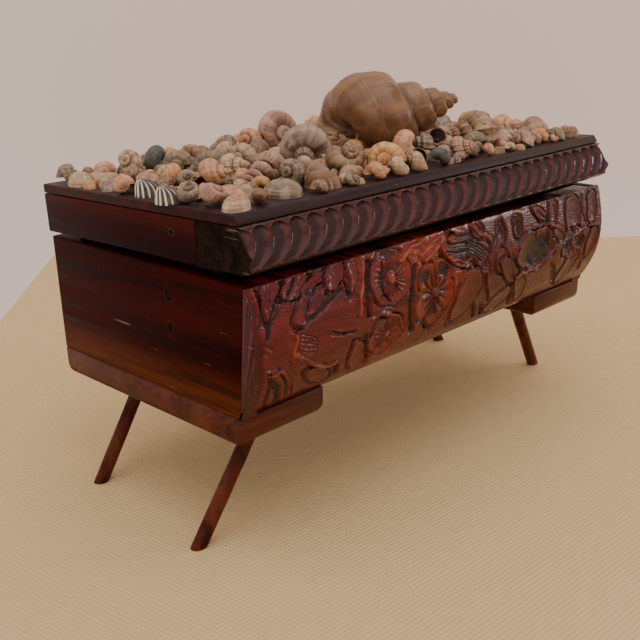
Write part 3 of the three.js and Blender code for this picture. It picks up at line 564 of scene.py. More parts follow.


# The carved panel. Places are millimetres from the panel's left end and from its foot, and levels run
# from 0 in the deepest cut to 1 on the highest ridge. About a third of the points, most of them in the
# cuts and ridges, come from a separate script, which turned points picked on the photo by eye into
# millimetres. The others were given with those as a guide.
panel = {
    "columns": 620, "rows": 130, "depth": 2.4, "wall": 3.4, "lean": 4.6, "gap": 0.3, "endFoot": 60.3,
    "ground": 0.66,
    "bow": ((0, 0), (0.08, 3.2), (0.27, 8.0), (0.46, 10.4), (0.66, 10.6), (0.86, 8.9), (1, 7.0)),
    "petals": (  # at, length, width, turn, dish
        ((1.5, 44.5), 15, 5.5, 86, 0.3), ((10, 46), 17, 8.5, 68, 0.35), ((22.5, 48.2), 15, 8, 20, 0.5),
        ((30, 42.3), 24, 9.5, 40, 0.45), ((44, 47.8), 13, 8.5, 38, 0.55), ((53, 46), 13, 6, 75, 0.2),
        ((59, 10.5), 17, 9, -62, 0.3), ((14, 9), 17, 8, -72, 0.3), ((36, 9), 16, 7, -25, 0.2),
        ((128, 41.3), 35, 15.5, -13, 0.95), ((126, 50.6), 14, 4.2, -8, 0.5), ((138, 49), 9, 7, -40, 0.5),
        ((170, 43.8), 10, 7, 82, 0.9), ((156, 31), 12, 10, -70, 0.35), ((163, 25), 18, 9, -40, 0.3),
        ((130, 20), 26, 16, 60, 0.2), ((160, 10), 20, 9, 20, 0.15), ((176, 12), 18, 10, -60, 0.2),
        ((202, 44.5), 14, 7, 75, 0.5), ((220.5, 41.5), 19, 14, 78, 0.55), ((240, 42), 17, 9, 80, 0.5),
        ((241, 24), 16, 9, 70, 0.4), ((222, 14), 20, 11, 60, 0.25), ((190, 47), 12, 5, -35, 0.3),
    ),
    "flowers": (  # at, half width, half height, petals, core, dish, rays
        ((76, 40), 13.2, 11.8, 6, 0.2, 0.55, 24), ((105.5, 27), 14, 15.5, 5, 0.1, 0.75, 13),
        ((74.5, 16), 11.5, 9.2, 5, 0.14, 0.6, 11), ((186.5, 30.5), 18.5, 10.5, 5, 0.0, 1.05, 0),
        ((221, 27), 11.0, 8.5, 5, 0.2, 0.6, 9),
    ),
    "hollows": (  # at, half width, half height, turn, depth
        ((111.5, 36.3), 4.2, 5.6, 25, 0.8), ((97.5, 35.5), 4, 4.5, -20, 0.6),
        ((76, 49.4), 6.5, 2.4, 0, 0.6), ((214, 26.8), 4, 3.2, 0, 0.7), ((228.5, 26.4), 3.4, 3.6, 0, 0.7),
        ((219, 34), 3, 2.2, 0, 0.6), ((182, 27), 7, 4, 30, 0.3), ((156.5, 45), 2.6, 5, 0, 0.5),
    ),
    "cuts": (  # broken lines cut with a gouge: width, depth, points
        (0.9, 0.75, ((18.8, 52), (14.5, 46.8), (11, 42), (7.5, 38), (6.5, 33))),
        (0.9, 0.7, ((42.8, 52.4), (38.8, 49), (37.6, 45.5))),
        (0.8, 0.55, ((47.4, 44.2), (40.1, 40.1), (33.3, 37.3), (27, 35.2))),
        (0.8, 0.55, ((47, 42), (40, 38.3), (33, 35.6), (20.5, 31.7))),
        (0.8, 0.6, ((4.5, 50), (5.5, 43), (6.5, 38))), (0.7, 0.55, ((24, 50.5), (20, 47), (17.5, 44.5))),
        (0.7, 0.5, ((36, 46.5), (31, 43), (27.5, 39), (26, 35.5))),
        (0.7, 0.5, ((50, 51), (51.5, 44), (50, 38))),
        (0.8, 0.5, ((72, 47), (70.5, 41), (71, 35), (74, 31))),
        (0.7, 0.5, ((115.5, 47), (122, 44.5), (130, 43.5))),
        (0.7, 0.5, ((115, 42.5), (123, 40.5), (131, 40.5))),
        (0.7, 0.45, ((40, 26), (47, 24), (54, 23.5))), (0.7, 0.5, ((195, 45), (198, 38), (196, 31))),
        (0.8, 0.5, ((158, 50), (160, 44), (158, 39))),
        (1.5, 0.85, ((63.9, 48.2), (61.4, 43), (60.4, 35.4), (61.9, 28.4))),
        (1.4, 0.85, ((92, 41), (89.4, 34.4), (88.4, 27.4), (89.8, 17.7), (93, 13))),
        (1.1, 0.75, ((61.4, 19), (63.3, 12), (68.5, 1.9))),
        (1.3, 0.85, ((9.2, 15.5), (13, 11.5), (15.5, 7), (16.7, 2.8))),
        (0.9, 0.6, ((46.2, 10.2), (48.3, 6.1))), (0.8, 0.55, ((99.9, 16.9), (104, 10.6))),
        (0.9, 0.6, ((143.4, 27), (145.4, 20.4), (150, 13))), (0.9, 0.6, ((138.1, 13.4), (144.2, 5.6))),
        (0.8, 0.5, ((146.5, 11.1), (151.7, 4.6))), (0.9, 0.5, ((206, 18), (213, 9))),
        (0.9, 0.5, ((168, 21), (172, 12), (178, 4))), (0.9, 0.5, ((234, 18), (238, 9))),
        (0.8, 0.5, ((22, 9), (24, 3))), (0.8, 0.5, ((2.5, 30), (3.5, 22), (3, 12))),
        (0.8, 0.45, ((118, 14), (121, 7))),
    ),
    "ridges": (  # the same, raised: width, level, points
        (1.3, 1.0, ((60.6, 52), (59.6, 44.6), (57, 36.3), (55.6, 29.9))),
        (1.1, 0.98, ((20.5, 31), (19.9, 25), (19.4, 19))),
        (0.9, 0.95, ((8.2, 17.4), (14.6, 17.6), (20.2, 11.1), (22.7, 4.1))),
        (0.9, 0.95, ((20.7, 22.5), (30.8, 15.9), (38.9, 11.6), (47, 11))),
        (0.8, 0.88, ((1.4, 20.4), (11.3, 19.1))), (1.5, 1.0, ((83, 45.6), (92, 50), (102, 51.9))),
        (1.6, 1.0, ((96.6, 44.8), (104.6, 48.6), (113, 51))),
        (1.3, 1.0, ((99.5, 42.6), (107.3, 46), (114.1, 49.6))),
        (1.2, 0.95, ((133, 52), (139, 46.6), (147.4, 42))),
        (0.9, 0.95, ((112.4, 49.6), (111, 45), (117, 39), (127, 36.6), (133, 37.5), (139, 32.5))),
        (0.9, 0.95, ((120.2, 30.1), (118.6, 21.2), (115.4, 14.2), (108, 9.6))),
        (0.9, 0.92, ((126.1, 32.1), (123.5, 27.5))),
        (0.9, 0.92, ((150.6, 41.6), (146, 33.5), (147, 28))),
        (0.9, 0.95, ((171, 19.5), (192.3, 22), (204.9, 28.8), (223, 31), (234, 35))),
        (0.9, 0.9, ((204.5, 19.6), (212, 9))),
        (0.9, 0.9, ((166, 32), (178, 40.6), (191, 42), (206, 38), (212, 34))),
        (0.9, 0.9, ((63, 26), (70, 26.6), (80, 23), (86, 16))),
        (0.8, 0.9, ((232, 51), (230, 42), (236, 33), (248, 33))),
        (0.8, 0.88, ((0.5, 37), (3, 30), (8, 27))),
    ),
    "strokes": (  # rows of fine lines: first start, first end, step to the next, count
        ((21.7, 30.8), (31.5, 27), (0.1, -1.7), 5), ((22.3, 43.6), (29.6, 47.4), (1.5, -1.0), 3),
        ((27, 45), (38.5, 49), (1.2, -1.3), 3), ((144.5, 38), (133, 45), (-0.3, -1.5), 7),
        ((185.5, 47.6), (192.4, 41.4), (1.8, 0.4), 3), ((7.5, 50), (7, 43), (1.6, 0.4), 3),
        ((190, 36), (177, 26), (2.0, -0.7), 4), ((103, 24), (101, 16), (1.7, 0.3), 5),
        ((151.6, 42), (152.6, 49.6), (1.7, 0.5), 4),
    ),
}


def curveShare(points, share):  # a smooth curve through points that are given by share and value
    shares = [p[0] for p in points]
    values = [p[1] for p in points]
    slopes = []
    for k in range(len(points)):
        before = max(k - 1, 0)
        after = min(k + 1, len(points) - 1)
        slopes.append((values[after] - values[before]) / (shares[after] - shares[before]))
    k = 0
    while k < len(points) - 2 and share > shares[k + 1]:
        k += 1
    span = shares[k + 1] - shares[k]
    t = min(max((share - shares[k]) / span, 0), 1)
    return ((1 + 2 * t) * (1 - t) ** 2 * values[k] + t * (1 - t) ** 2 * span * slopes[k]
            + t * t * (3 - 2 * t) * values[k + 1] + t * t * (t - 1) * span * slopes[k + 1])


def distanceToLine(along, up, points):
    nearest = np.full(along.shape, 1e3)
    for (x0, y0), (x1, y1) in zip(points, points[1:]):
        length = (x1 - x0) ** 2 + (y1 - y0) ** 2
        share = np.clip(((along - x0) * (x1 - x0) + (up - y0) * (y1 - y0)) / length, 0, 1)
        nearest = np.minimum(nearest, np.hypot(along - x0 - share * (x1 - x0), up - y0 - share * (y1 - y0)))
    return nearest


def wobble(along, up, scale, seed):  # slow uneven waves, like a hand-held gouge
    return (np.sin(along * scale + seed) * np.cos(up * scale * 1.3 + seed * 2)
            + 0.5 * np.sin(along * scale * 2.3 + up * scale * 1.7 + seed * 3))


def turnedAbout(along, up, at, turn):
    cos, sin = math.cos(math.radians(turn)), math.sin(math.radians(turn))
    return (along - at[0]) * cos + (up - at[1]) * sin, (up - at[1]) * cos - (along - at[0]) * sin


def carvedForm(height, radius, dish, border):  # a dished form with a raised rim and a cut round it
    inside = 1 - smooth(0.95, 1.03, radius)
    form = 0.86 - dish * 0.75 * (1 - np.clip(radius, 0, 1) ** 2.6)
    groove = np.exp(-((radius - 1.0 - border) / border) ** 2)
    return height * (1 - inside) + form * inside - 0.42 * groove * (1 - inside)


def carvedHeight(along, up):
    along = along + 0.45 * wobble(along, up, 0.35, 1.0)
    up = up + 0.35 * wobble(along, up, 0.4, 4.0)
    height = panel["ground"] + 0.05 * wobble(along, up, 0.16, 2.0) + 0.045 * np.sin(up * 5.2 + along * 0.5)
    for at, length, width, turn, dish in panel["petals"]:
        far, wide = turnedAbout(along, up, at, turn)
        radius = np.hypot(far / (length / 2), wide / (width / 2) / np.clip(1 + 0.3 * far / length, 0.6, 1.4))
        height = carvedForm(height, radius, dish, 0.8 / width * 1.6)
    for at, wide, high, petals, core, dish, rays in panel["flowers"]:
        far, rise = (along - at[0]) / wide, (up - at[1]) / high
        angle = np.arctan2(rise, far)
        lobes = np.abs(np.cos(angle * petals / 2 + 0.6))
        radius = np.hypot(far, rise) / ((0.8 + 0.2 * lobes ** 0.7) if rays < 20 else 0.95)
        height = carvedForm(height, radius, dish, 0.055)
        inside = 1 - smooth(0.9, 1.0, radius)
        if core:
            knob = 1 - smooth(core * 0.75, core * 1.15, radius)
            height = height * (1 - knob) + 0.9 * knob
        if rays:
            ray = np.cos(angle * rays + 2.5 * np.sin(radius * 3)) * (0.75 + 0.25 * np.sin(angle * 5.3))
            reach = smooth(core, core + 0.15, radius) * smooth(0.85, 0.5, radius)
            height = height + 0.24 * ray * inside * reach
        parted = (rays < 20) * (1 - lobes) ** 7 * smooth(0.4, 0.8, radius) * (1 - smooth(1.0, 1.1, radius))
        height = height - 0.35 * parted
    for at, wide, high, turn, depth in panel["hollows"]:
        far, rise = turnedAbout(along, up, at, turn)
        radius = np.hypot(far / wide, rise / high)
        height = height * (1 - (1 - smooth(0.55, 1.0, radius)) * depth)
    for width, level, points in panel["ridges"]:
        near = distanceToLine(along, up, points) / width
        beside = 0.16 * np.exp(-((near - 1.7) / 0.4) ** 2)
        height = np.maximum(height, level * np.exp(-near ** 2 * 0.8)) - beside
    for width, depth, points in panel["cuts"]:
        near = distanceToLine(along, up, points)
        lip = 0.14 * np.exp(-((near - 1.7 * width) / 0.5) ** 2)
        height = height - depth * np.exp(-(near / width) ** 2) + lip
    for first, last, shift, count in panel["strokes"]:
        for k in range(count):
            points = [(p[0] + shift[0] * k, p[1] + shift[1] * k) for p in (first, last)]
            near = distanceToLine(along, up, points)
            height = height - 0.26 * np.exp(-(near / 0.36) ** 2)
    height = height + 0.02 * np.sin(along * 2.9 + np.sin(up * 1.7) * 2)
    bevel = smooth(1.6, 0.0, along - 1.0 - 4.6 * (1 - up / 52))  # the left end is planed off
    height = height * (1 - bevel) + (0.36 + 0.06 * np.sin(along * 5)) * bevel
    return np.clip(height, 0.0, 1.0)


def orangeShare(along, up):  # where the varnish is thin and glows orange
    straps = np.exp(-((along - 99) / 13) ** 2 - ((up - 47) / 5) ** 2)
    stripe = np.exp(-((along - 58.5) / 3) ** 2) * smooth(26, 34, up)
    hill = np.exp(-((along - 20) / 3) ** 2 - ((up - 25) / 7) ** 2)
    foot = 0.5 * np.exp(-((along - 75) / 18) ** 2) * smooth(24, 8, up)
    return np.clip(straps + 0.7 * stripe + 0.7 * hill + foot, 0, 1)


def makePanel():
    columns, rows = panel["columns"], panel["rows"]
    midY = leftHigh.y - panel["endFoot"]
    along, up = np.meshgrid(np.linspace(0, 2 * halfLength, columns + 1),
                            np.linspace(0, rim - bodyFloor, rows + 1), indexing="ij")
    share = up / (rim - bodyFloor)
    height = carvedHeight(along, up)
    edge = smooth(0, 0.1, share) * smooth(1, 0.96, share)
    relief = height * edge + (1 - edge) * 0.5
    tint = orangeShare(along, up) * (0.5 + 0.5 * np.sin(along * 0.9 + up * 1.3) * np.sin(up * 0.7))
    face = np.array([panel["endFoot"] + curveShare(panel["bow"], r / rows) for r in range(rows + 1)])
    inside = halfLength - (leftHigh.x - leftLow.x) - panel["gap"]

    def place(column, step):
        x = along[column, 0] - halfLength
        if 1 <= step <= rows + 1:
            row = step - 1
            z = up[0, row]
            y = face[row] - panel["depth"] * (1 - relief[column, row])
            point = (x + middleX, midY - y, bodyFloor + z)
            return point, float(height[column, row]), float(tint[column, row])
        top = step == rows + 2
        back = panel["endFoot"] - panel["wall"]
        if abs(x) > inside:
            back = panel["endFoot"] + panel["gap"] + (panel["lean"] if top else 0)
        return (x + middleX, midY - back, rim if top else bodyFloor), 0.4, 0.0

    mesh = wrappedSection(columns, rows + 3, place)
    finishPiece(mesh, "carvedPanel", ["body_front_panel"], [carvedMaterials["panel"]], 70)


makePanel()
print("panel carved")


# The fluted moulding, in the lid's own turned frame
moulding = {
    "columns": 900, "rows": 46, "depth": 31.0, "front": 71.7, "high": 16.6, "tilt": 1.45, "lift": 3.2,
    "pitch": 8.93, "start": 0.1, "fluteDepth": 2.3, "slant": 10, "bowed": 2.6, "hook": 5.0, "crest": 3.4,
    "face": ((0, 26.4, 0), (0.16, 30.1, 2.4), (0.31, 31, 4.8), (0.5, 30, 7.9), (0.72, 28.4, 11.8),
             (0.9, 26.1, 15), (1, 24.6, 16.6)),
}


def makeMoulding():
    columns, rows = moulding["columns"], moulding["rows"]
    midY = leftHigh.y - panel["endFoot"]
    out = [(p[0], p[1]) for p in moulding["face"]]
    level = [(p[0], p[2]) for p in moulding["face"]]
    turn = Matrix.Rotation(-math.radians(moulding["tilt"]), 3, "X")
    back = moulding["front"] - moulding["depth"]

    def place(column, step):
        x = 2 * halfLength * column / columns - halfLength
        relief = 0.75
        tint = 0.0
        if 1 <= step <= rows + 1:
            share = (step - 1) / rows
            y = back + curveShare(out, share)
            z = curveShare(level, share)
            waver = 0.35 * noise.noise(Vector((x * 0.13, share * 2, 0)))
            bowed = moulding["bowed"] * math.sin(math.pi * share)
            hook = moulding["hook"] * (1 - share) ** 3
            slant = moulding["slant"] * (share - 0.5)
            flute = (x + halfLength - slant - bowed + hook + waver) / moulding["pitch"] + moulding["start"]
            across = 2 * (flute - math.floor(flute)) - 1
            count = math.floor(flute)
            top = 0.995 - 0.1 * across ** 2 + 0.015 * noise.noise(Vector((count * 1.7, 0, 3)))
            foot = 0.1 + 0.04 * noise.noise(Vector((count * 2.3, 5, 0)))
            scoop = (1 - abs(across) ** moulding["crest"]) * (1 - 0.25 * across)
            ends = float(smooth(foot, foot + 0.13, share)) * float(smooth(top, top - 0.07, share))
            y -= moulding["fluteDepth"] * scoop * ends
            crest = abs(across) ** 8 * float(smooth(foot, foot + 0.15, share))
            crest *= float(smooth(1.0, 0.9, share))
            arch = math.exp(-((share - top) / 0.025) ** 2)
            # the relief is lower in the scoops, deepest on their left, which the material paints darker as
            # shade
            relief = 0.72 - 0.4 * scoop * ends + 0.28 * max(crest, arch)
            # painted light: the right side of each scoop is tinted a lighter red, as where the light falls on
            # it
            tint = float(smooth(0.45, 0.75, across)) * float(smooth(0.98, 0.86, across)) * ends
            tint *= 0.6 + 0.8 * noise.noise(Vector((count * 2.1, share * 3, 7)))
        else:
            y = back
            z = moulding["high"] if step == rows + 2 else 0
        point = turn @ Vector((x + middleX, -y, z))
        return (point.x, point.y + midY, point.z + rim + moulding["lift"]), relief, tint

    mesh = wrappedSection(columns, rows + 3, place)
    finishPiece(mesh, "flutedMoulding", ["lid_front_moulding"],
                [carvedMaterials["moulding"]], 60)


makeMoulding()
print("moulding fluted")


# Shells. Each vertex of a coil carries how many turns it lies from the mouth, where it is round the
# whorl, and a number that shifts the shell's colour noise.
def shellMaterial(name, look):
    material, tree, shader = newMaterial(name, look["roughness"], **{
        "Coat Weight": look.get("coat", 0.0), "Coat Roughness": 0.25, "Specular IOR Level": 0.4})
    place = objectPlace(tree)
    coil = axesOf(tree, attributeNode(tree, "coil")["Vector"])
    turns, around, tint = coil["X"], coil["Y"], coil["Z"]

    def onCoil(alongTurns, roundWhorl, detail, roughness):  # noise drawn out along the coil or round it
        vector = addNode(tree, "ShaderNodeCombineXYZ", {
            "X": mathNode(tree, "MULTIPLY", turns, alongTurns),
            "Y": mathNode(tree, "MULTIPLY", around, roundWhorl), "Z": tint})
        return noiseNode(tree, vector.outputs[0], 1.0, detail, roughness)

    lines = onCoil(look.get("lines", 26.0), 1.5, 3.0, 0.6)
    bands = onCoil(1.2, look.get("bands", 14.0), 2.0, 0.5)
    patches = noiseNode(tree, place, look.get("patchScale", 130.0), 5.0, 0.65)
    dots = addNode(tree, "ShaderNodeTexVoronoi", {"Vector": place, "Scale": 650.0}).outputs["Distance"]
    colour = mixColours(tree, spanNode(tree, lines, 0.38, 0.62), look["dark"], look["base"])
    layers = (  # mask, from, to, amount, stain
        (bands, 0.46, 0.6, look.get("band", 0.3), look["light"]),
        (patches, 0.52, 0.68, look.get("patch", 0.5), look["light"]),
        (patches, 0.47, 0.34, look.get("stain", 0.4), look["dark"]),
        (dots, 0.2, 0.06, 0.35, look["dark"]),
    )
    for mask, low, high, amount, stain in layers:
        colour = stained(tree, colour, spanNode(tree, mask, low, high), amount, stain)
    if "ribs" in look:  # pale ribs
        wave = mathNode(tree, "SINE", mathNode(tree, "MULTIPLY", around, 2 * math.pi * look["ribs"]))
        colour = mixColours(tree, spanNode(tree, wave, 0.25, 0.7), colour, look["rib"])
    # painted shade, with dirt: the crevices between whorls are darkened by ambient occlusion
    shadeAndDirt = useGroup(tree, creviceShadeGroup, Distance=2.2 * mm, Amount=shellShadeAndDirt["amount"])
    colour = mixColours(tree, shadeAndDirt["ShadeAndDirt"], colour, shellShadeAndDirt["colour"])
    tree.links.new(colour, shader.inputs["Base Color"])
    dull = spanNode(tree, patches, 0.3, 0.7, look["roughness"] - 0.1, look["roughness"] + 0.15)
    tree.links.new(dull, shader.inputs["Roughness"])
    height = mathNode(tree, "ADD", lines, mathNode(tree, "MULTIPLY", patches, 0.5))
    bumpOn(tree, shader, height, look.get("bump", 0.25))
    return material


# the colour and amount of the painted crevice shade and dirt on the shells
shellShadeAndDirt = {"amount": 0.75, "colour": (0.05, 0.03, 0.018)}
shellLooks = {
    "tan": dict(
        base=(0.24, 0.12, 0.052), dark=(0.13, 0.055, 0.022), light=(0.34, 0.2, 0.1), roughness=0.34,
        coat=0.12, lines=14.0, patch=0.3, stain=0.6, patchScale=55.0, bump=0.2, band=0.2,
    ),
    "cream": dict(
        base=(0.55, 0.38, 0.23), dark=(0.26, 0.145, 0.08), light=(0.74, 0.58, 0.4), roughness=0.48,
        patch=0.5,
    ),
    "grey": dict(
        base=(0.29, 0.2, 0.135), dark=(0.11, 0.065, 0.042), light=(0.54, 0.43, 0.32), roughness=0.45,
        lines=20.0, band=0.3,
    ),
    "olive": dict(
        base=(0.25, 0.165, 0.08), dark=(0.08, 0.065, 0.045), light=(0.4, 0.29, 0.16), roughness=0.36,
        coat=0.12, band=0.35,
    ),
    "peach": dict(
        base=(0.6, 0.3, 0.15), dark=(0.36, 0.15, 0.07), light=(0.76, 0.52, 0.36), roughness=0.4,
        coat=0.1,
    ),
    "orange": dict(
        base=(0.58, 0.26, 0.08), dark=(0.34, 0.13, 0.04), light=(0.72, 0.46, 0.24), roughness=0.38,
        coat=0.12,
    ),
    "brown": dict(
        base=(0.33, 0.18, 0.095), dark=(0.13, 0.065, 0.035), light=(0.54, 0.36, 0.22), roughness=0.46,
    ),
    "pink": dict(
        base=(0.42, 0.23, 0.155), dark=(0.23, 0.115, 0.08), light=(0.64, 0.43, 0.31), roughness=0.46,
    ),
    "slate": dict(
        base=(0.07, 0.075, 0.062), dark=(0.03, 0.034, 0.03), light=(0.16, 0.15, 0.11), roughness=0.34,
        coat=0.12, band=0.2,
    ),
    "striped": dict(
        base=(0.075, 0.055, 0.042), dark=(0.03, 0.022, 0.018), light=(0.2, 0.15, 0.11), roughness=0.5,
        ribs=14.0, rib=(0.72, 0.64, 0.52),
    ),
}
shellMaterials = {name: shellMaterial(name + "Shell", look) for name, look in shellLooks.items()}
# The insides of the mouths are coloured dark brown, in patches
mouthMaterial, mouthTree, mouthShader = newMaterial("shellMouth", 0.5)
mouthMask = spanNode(mouthTree, noiseNode(mouthTree, objectPlace(mouthTree), 240.0, 4.0), 0.35, 0.65)
mouthTree.links.new(mixColours(mouthTree, mouthMask, (0.05, 0.025, 0.018), (0.17, 0.09, 0.06)),
                    mouthShader.inputs["Base Color"])


# Kinds of coil. The whorl is an oval at (reach, drop) from the axis and the apex, wide by high, and each
# turn towards the apex is smaller by growth. ribs and cords are shares of the whorl's size.
coilKinds = {
    "moon": dict(
        growth=2.5, turns=3.2, reach=0.5, drop=1.02, wide=0.5, high=0.66, lean=12, sides=22, steps=26,
    ),
    "snail": dict(
        growth=2.0, turns=3.8, reach=0.5, drop=1.42, wide=0.5, high=0.66, lean=10, sides=22, steps=26,
        cords=0.01, cordCount=9,
    ),
    "turban": dict(
        growth=1.62, turns=4.6, reach=0.5, drop=1.85, wide=0.5, high=0.56, lean=8, sides=22, steps=26,
        ribs=0.05, ribCount=13, cords=0.02, cordCount=7,
    ),
    "cone": dict(
        growth=1.3, turns=8.0, reach=0.5, drop=3.9, wide=0.5, high=0.5, lean=0, sides=18, steps=22,
        cords=0.02, cordCount=6,
    ),
    "whelk": dict(
        growth=1.68, turns=5.0, reach=0.5, drop=2.3, wide=0.64, high=0.8, lean=2, sides=40, steps=56,
        ribs=0.012, ribCount=9, cords=0.006, cordCount=26, lumps=0.02,
    ),
}


lipShare = 0.9  # how wide the inside of the mouth is
insideTurns = 0.3  # how far the inside runs back


def makeCoil(kind, tint=0.0, detail=1.0, seed=0):
    form = coilKinds[kind]
    steps = max(12, round(form["steps"] * detail))
    sides = max(10, round(form["sides"] * detail))
    mesh = bmesh.new()
    layer = mesh.verts.layers.float_vector.new("coil")
    ring = bmesh.ops.create_circle(mesh, segments=sides, radius=1)["verts"]
    lean = Matrix.Rotation(math.radians(form["lean"]), 3, "Y")
    for vertex in ring:
        angle = math.atan2(vertex.co.y, vertex.co.x)
        oval = lean @ Vector((form["wide"] * math.cos(angle), 0, form["high"] * math.sin(angle)))
        vertex.co = (form["reach"] + oval.x, 0, oval.z - form["drop"])
        vertex[layer] = (0, (angle / (2 * math.pi)) % 1, tint)
    mouth = Vector((form["reach"], 0, -form["drop"]))
    edges = list({edge for vertex in ring for edge in vertex.link_edges})
    step = Matrix.Rotation(2 * math.pi / steps, 4, "Z") @ Matrix.Scale(form["growth"] ** (-1 / steps), 4)
    first = edges
    for number in range(1, round(form["turns"] * steps) + 1):
        edges, ring = pulledRing(mesh, edges, step)
        for vertex in ring:
            vertex[layer] = (number / steps, vertex[layer][1], tint)
    bmesh.ops.edgeloop_fill(mesh, edges=edges)
    outside = set(mesh.verts)
    # the lip turns in, and the inside runs back out of sight
    lip = Matrix.Translation(mouth) @ Matrix.Scale(lipShare, 4) @ Matrix.Translation(-mouth)
    edges, ring = pulledRing(mesh, first, lip)
    for number in range(round(steps * insideTurns)):
        edges, ring = pulledRing(mesh, edges, step)
    bmesh.ops.edgeloop_fill(mesh, edges=edges)
    bmesh.ops.recalc_face_normals(mesh, faces=mesh.faces)
    mesh.normal_update()
    dressCoil(mesh, layer, form, outside, seed)
    for face in mesh.faces:
        if not any(vertex in outside for vertex in face.verts):
            face.material_index = 1
    return mesh


def pulledRing(mesh, edges, matrix):
    made = bmesh.ops.extrude_edge_only(mesh, edges=edges)["geom"]
    ring = [part for part in made if isinstance(part, bmesh.types.BMVert)]
    bmesh.ops.transform(mesh, matrix=matrix, verts=ring)
    return [part for part in made if isinstance(part, bmesh.types.BMEdge)], ring


def dressCoil(mesh, layer, form, outside, seed):
    shift = Vector((seed * 3.7, seed * 1.3, 0))
    moves = {}
    for vertex in outside:
        turns, around, tint = vertex[layer]
        size = form["growth"] ** -turns
        push = form.get("ribs", 0) * math.cos(2 * math.pi * turns * form.get("ribCount", 1))
        push += form.get("cords", 0) * math.cos(2 * math.pi * around * form.get("cordCount", 1))
        push += (form.get("lumps", 0) + 0.03) * noise.noise(vertex.co * 2.2 / size + shift)
        push += 0.012 * noise.noise(Vector((turns * 22, around * 2, seed)))
        moves[vertex] = vertex.normal * push * size
    for vertex, move in moves.items():
        vertex.co += move


# Valves: cockles with ribs, plain clams and limpets. Rings shrink and rise towards the beak.
valveKinds = {
    "cockle": dict(ribs=17, ribDepth=0.035, beak=0.5, high=0.4, wide=0.84, rings=9, sides=102),
    "clam": dict(ribs=0, ribDepth=0.0, beak=0.4, high=0.4, wide=0.78, rings=12, sides=60),
    "limpet": dict(ribs=26, ribDepth=0.012, beak=0.1, high=0.32, wide=0.86, rings=10, sides=78),
    "striped": dict(ribs=14, ribDepth=0.035, beak=0.45, high=0.55, wide=0.86, rings=9, sides=84),
}


def makeValve(kind, tint=0.0, detail=1.0, seed=0):
    form = valveKinds[kind]
    sides = max(12, round(form["sides"] * detail))
    rings = max(4, round(form["rings"] * detail))
    mesh = bmesh.new()
    layer = mesh.verts.layers.float_vector.new("coil")
    ring = bmesh.ops.create_circle(mesh, cap_ends=True, segments=sides, radius=0.5)["verts"]
    edges = [edge for edge in mesh.edges if edge.is_boundary]
    rims = [(1.0, ring)]
    for number in range(1, rings + 1):
        edges, ring = pulledRing(mesh, edges, Matrix.Identity(4))
        rims.append((1 - number / (rings + 1), ring))
    bmesh.ops.edgeloop_fill(mesh, edges=edges)
    for share, ring in rims:
        for vertex in ring:
            angle = math.atan2(vertex.co.y, vertex.co.x)
            wave = math.cos(form["ribs"] * angle) if form["ribs"] else 0
            step = 1 + form["ribDepth"] * wave * share + 0.008 * math.sin(share * 40 + seed)
            outline = 1 - 0.1 * max(0, math.cos(angle))
            reach = 0.5 * share ** 0.85 * step * outline
            rise = form["high"] * math.sqrt(max(0, 1 - share ** 2.4)) * step
            vertex.co = (reach * math.cos(angle) + form["beak"] * 0.5 * (1 - share),
                         reach * math.sin(angle) * form["wide"], rise)
            vertex[layer] = ((1 - share) * 1.6, (angle / (2 * math.pi)) % 1, tint)
    bmesh.ops.recalc_face_normals(mesh, faces=mesh.faces)
    return mesh


def boxOf(mesh):
    low = Vector([min(v.co[k] for v in mesh.verts) for k in range(3)])
    high = Vector([max(v.co[k] for v in mesh.verts) for k in range(3)])
    return low, high


def turnTo(heading, pitch, facing):  # the apex points along heading and pitch, and the mouth faces as given
    heading, pitch = math.radians(heading), math.radians(pitch)
    apex = Vector((math.cos(pitch) * math.cos(heading), math.cos(pitch) * math.sin(heading), math.sin(pitch)))
    opening = (facing - apex * facing.dot(apex)).normalized()
    side = apex.cross(opening)
    return Matrix((side, -opening, apex)).transposed().to_4x4()


facings = {
    "down": Vector((0.2, 0.15, -1)), "camera": Vector((-0.65, -0.66, 0.1)), "back": Vector((0.6, 0.7, -0.3)),
    "right": Vector((0.7, -0.5, -0.2)), "front": Vector((0.1, -1, -0.1)),
}
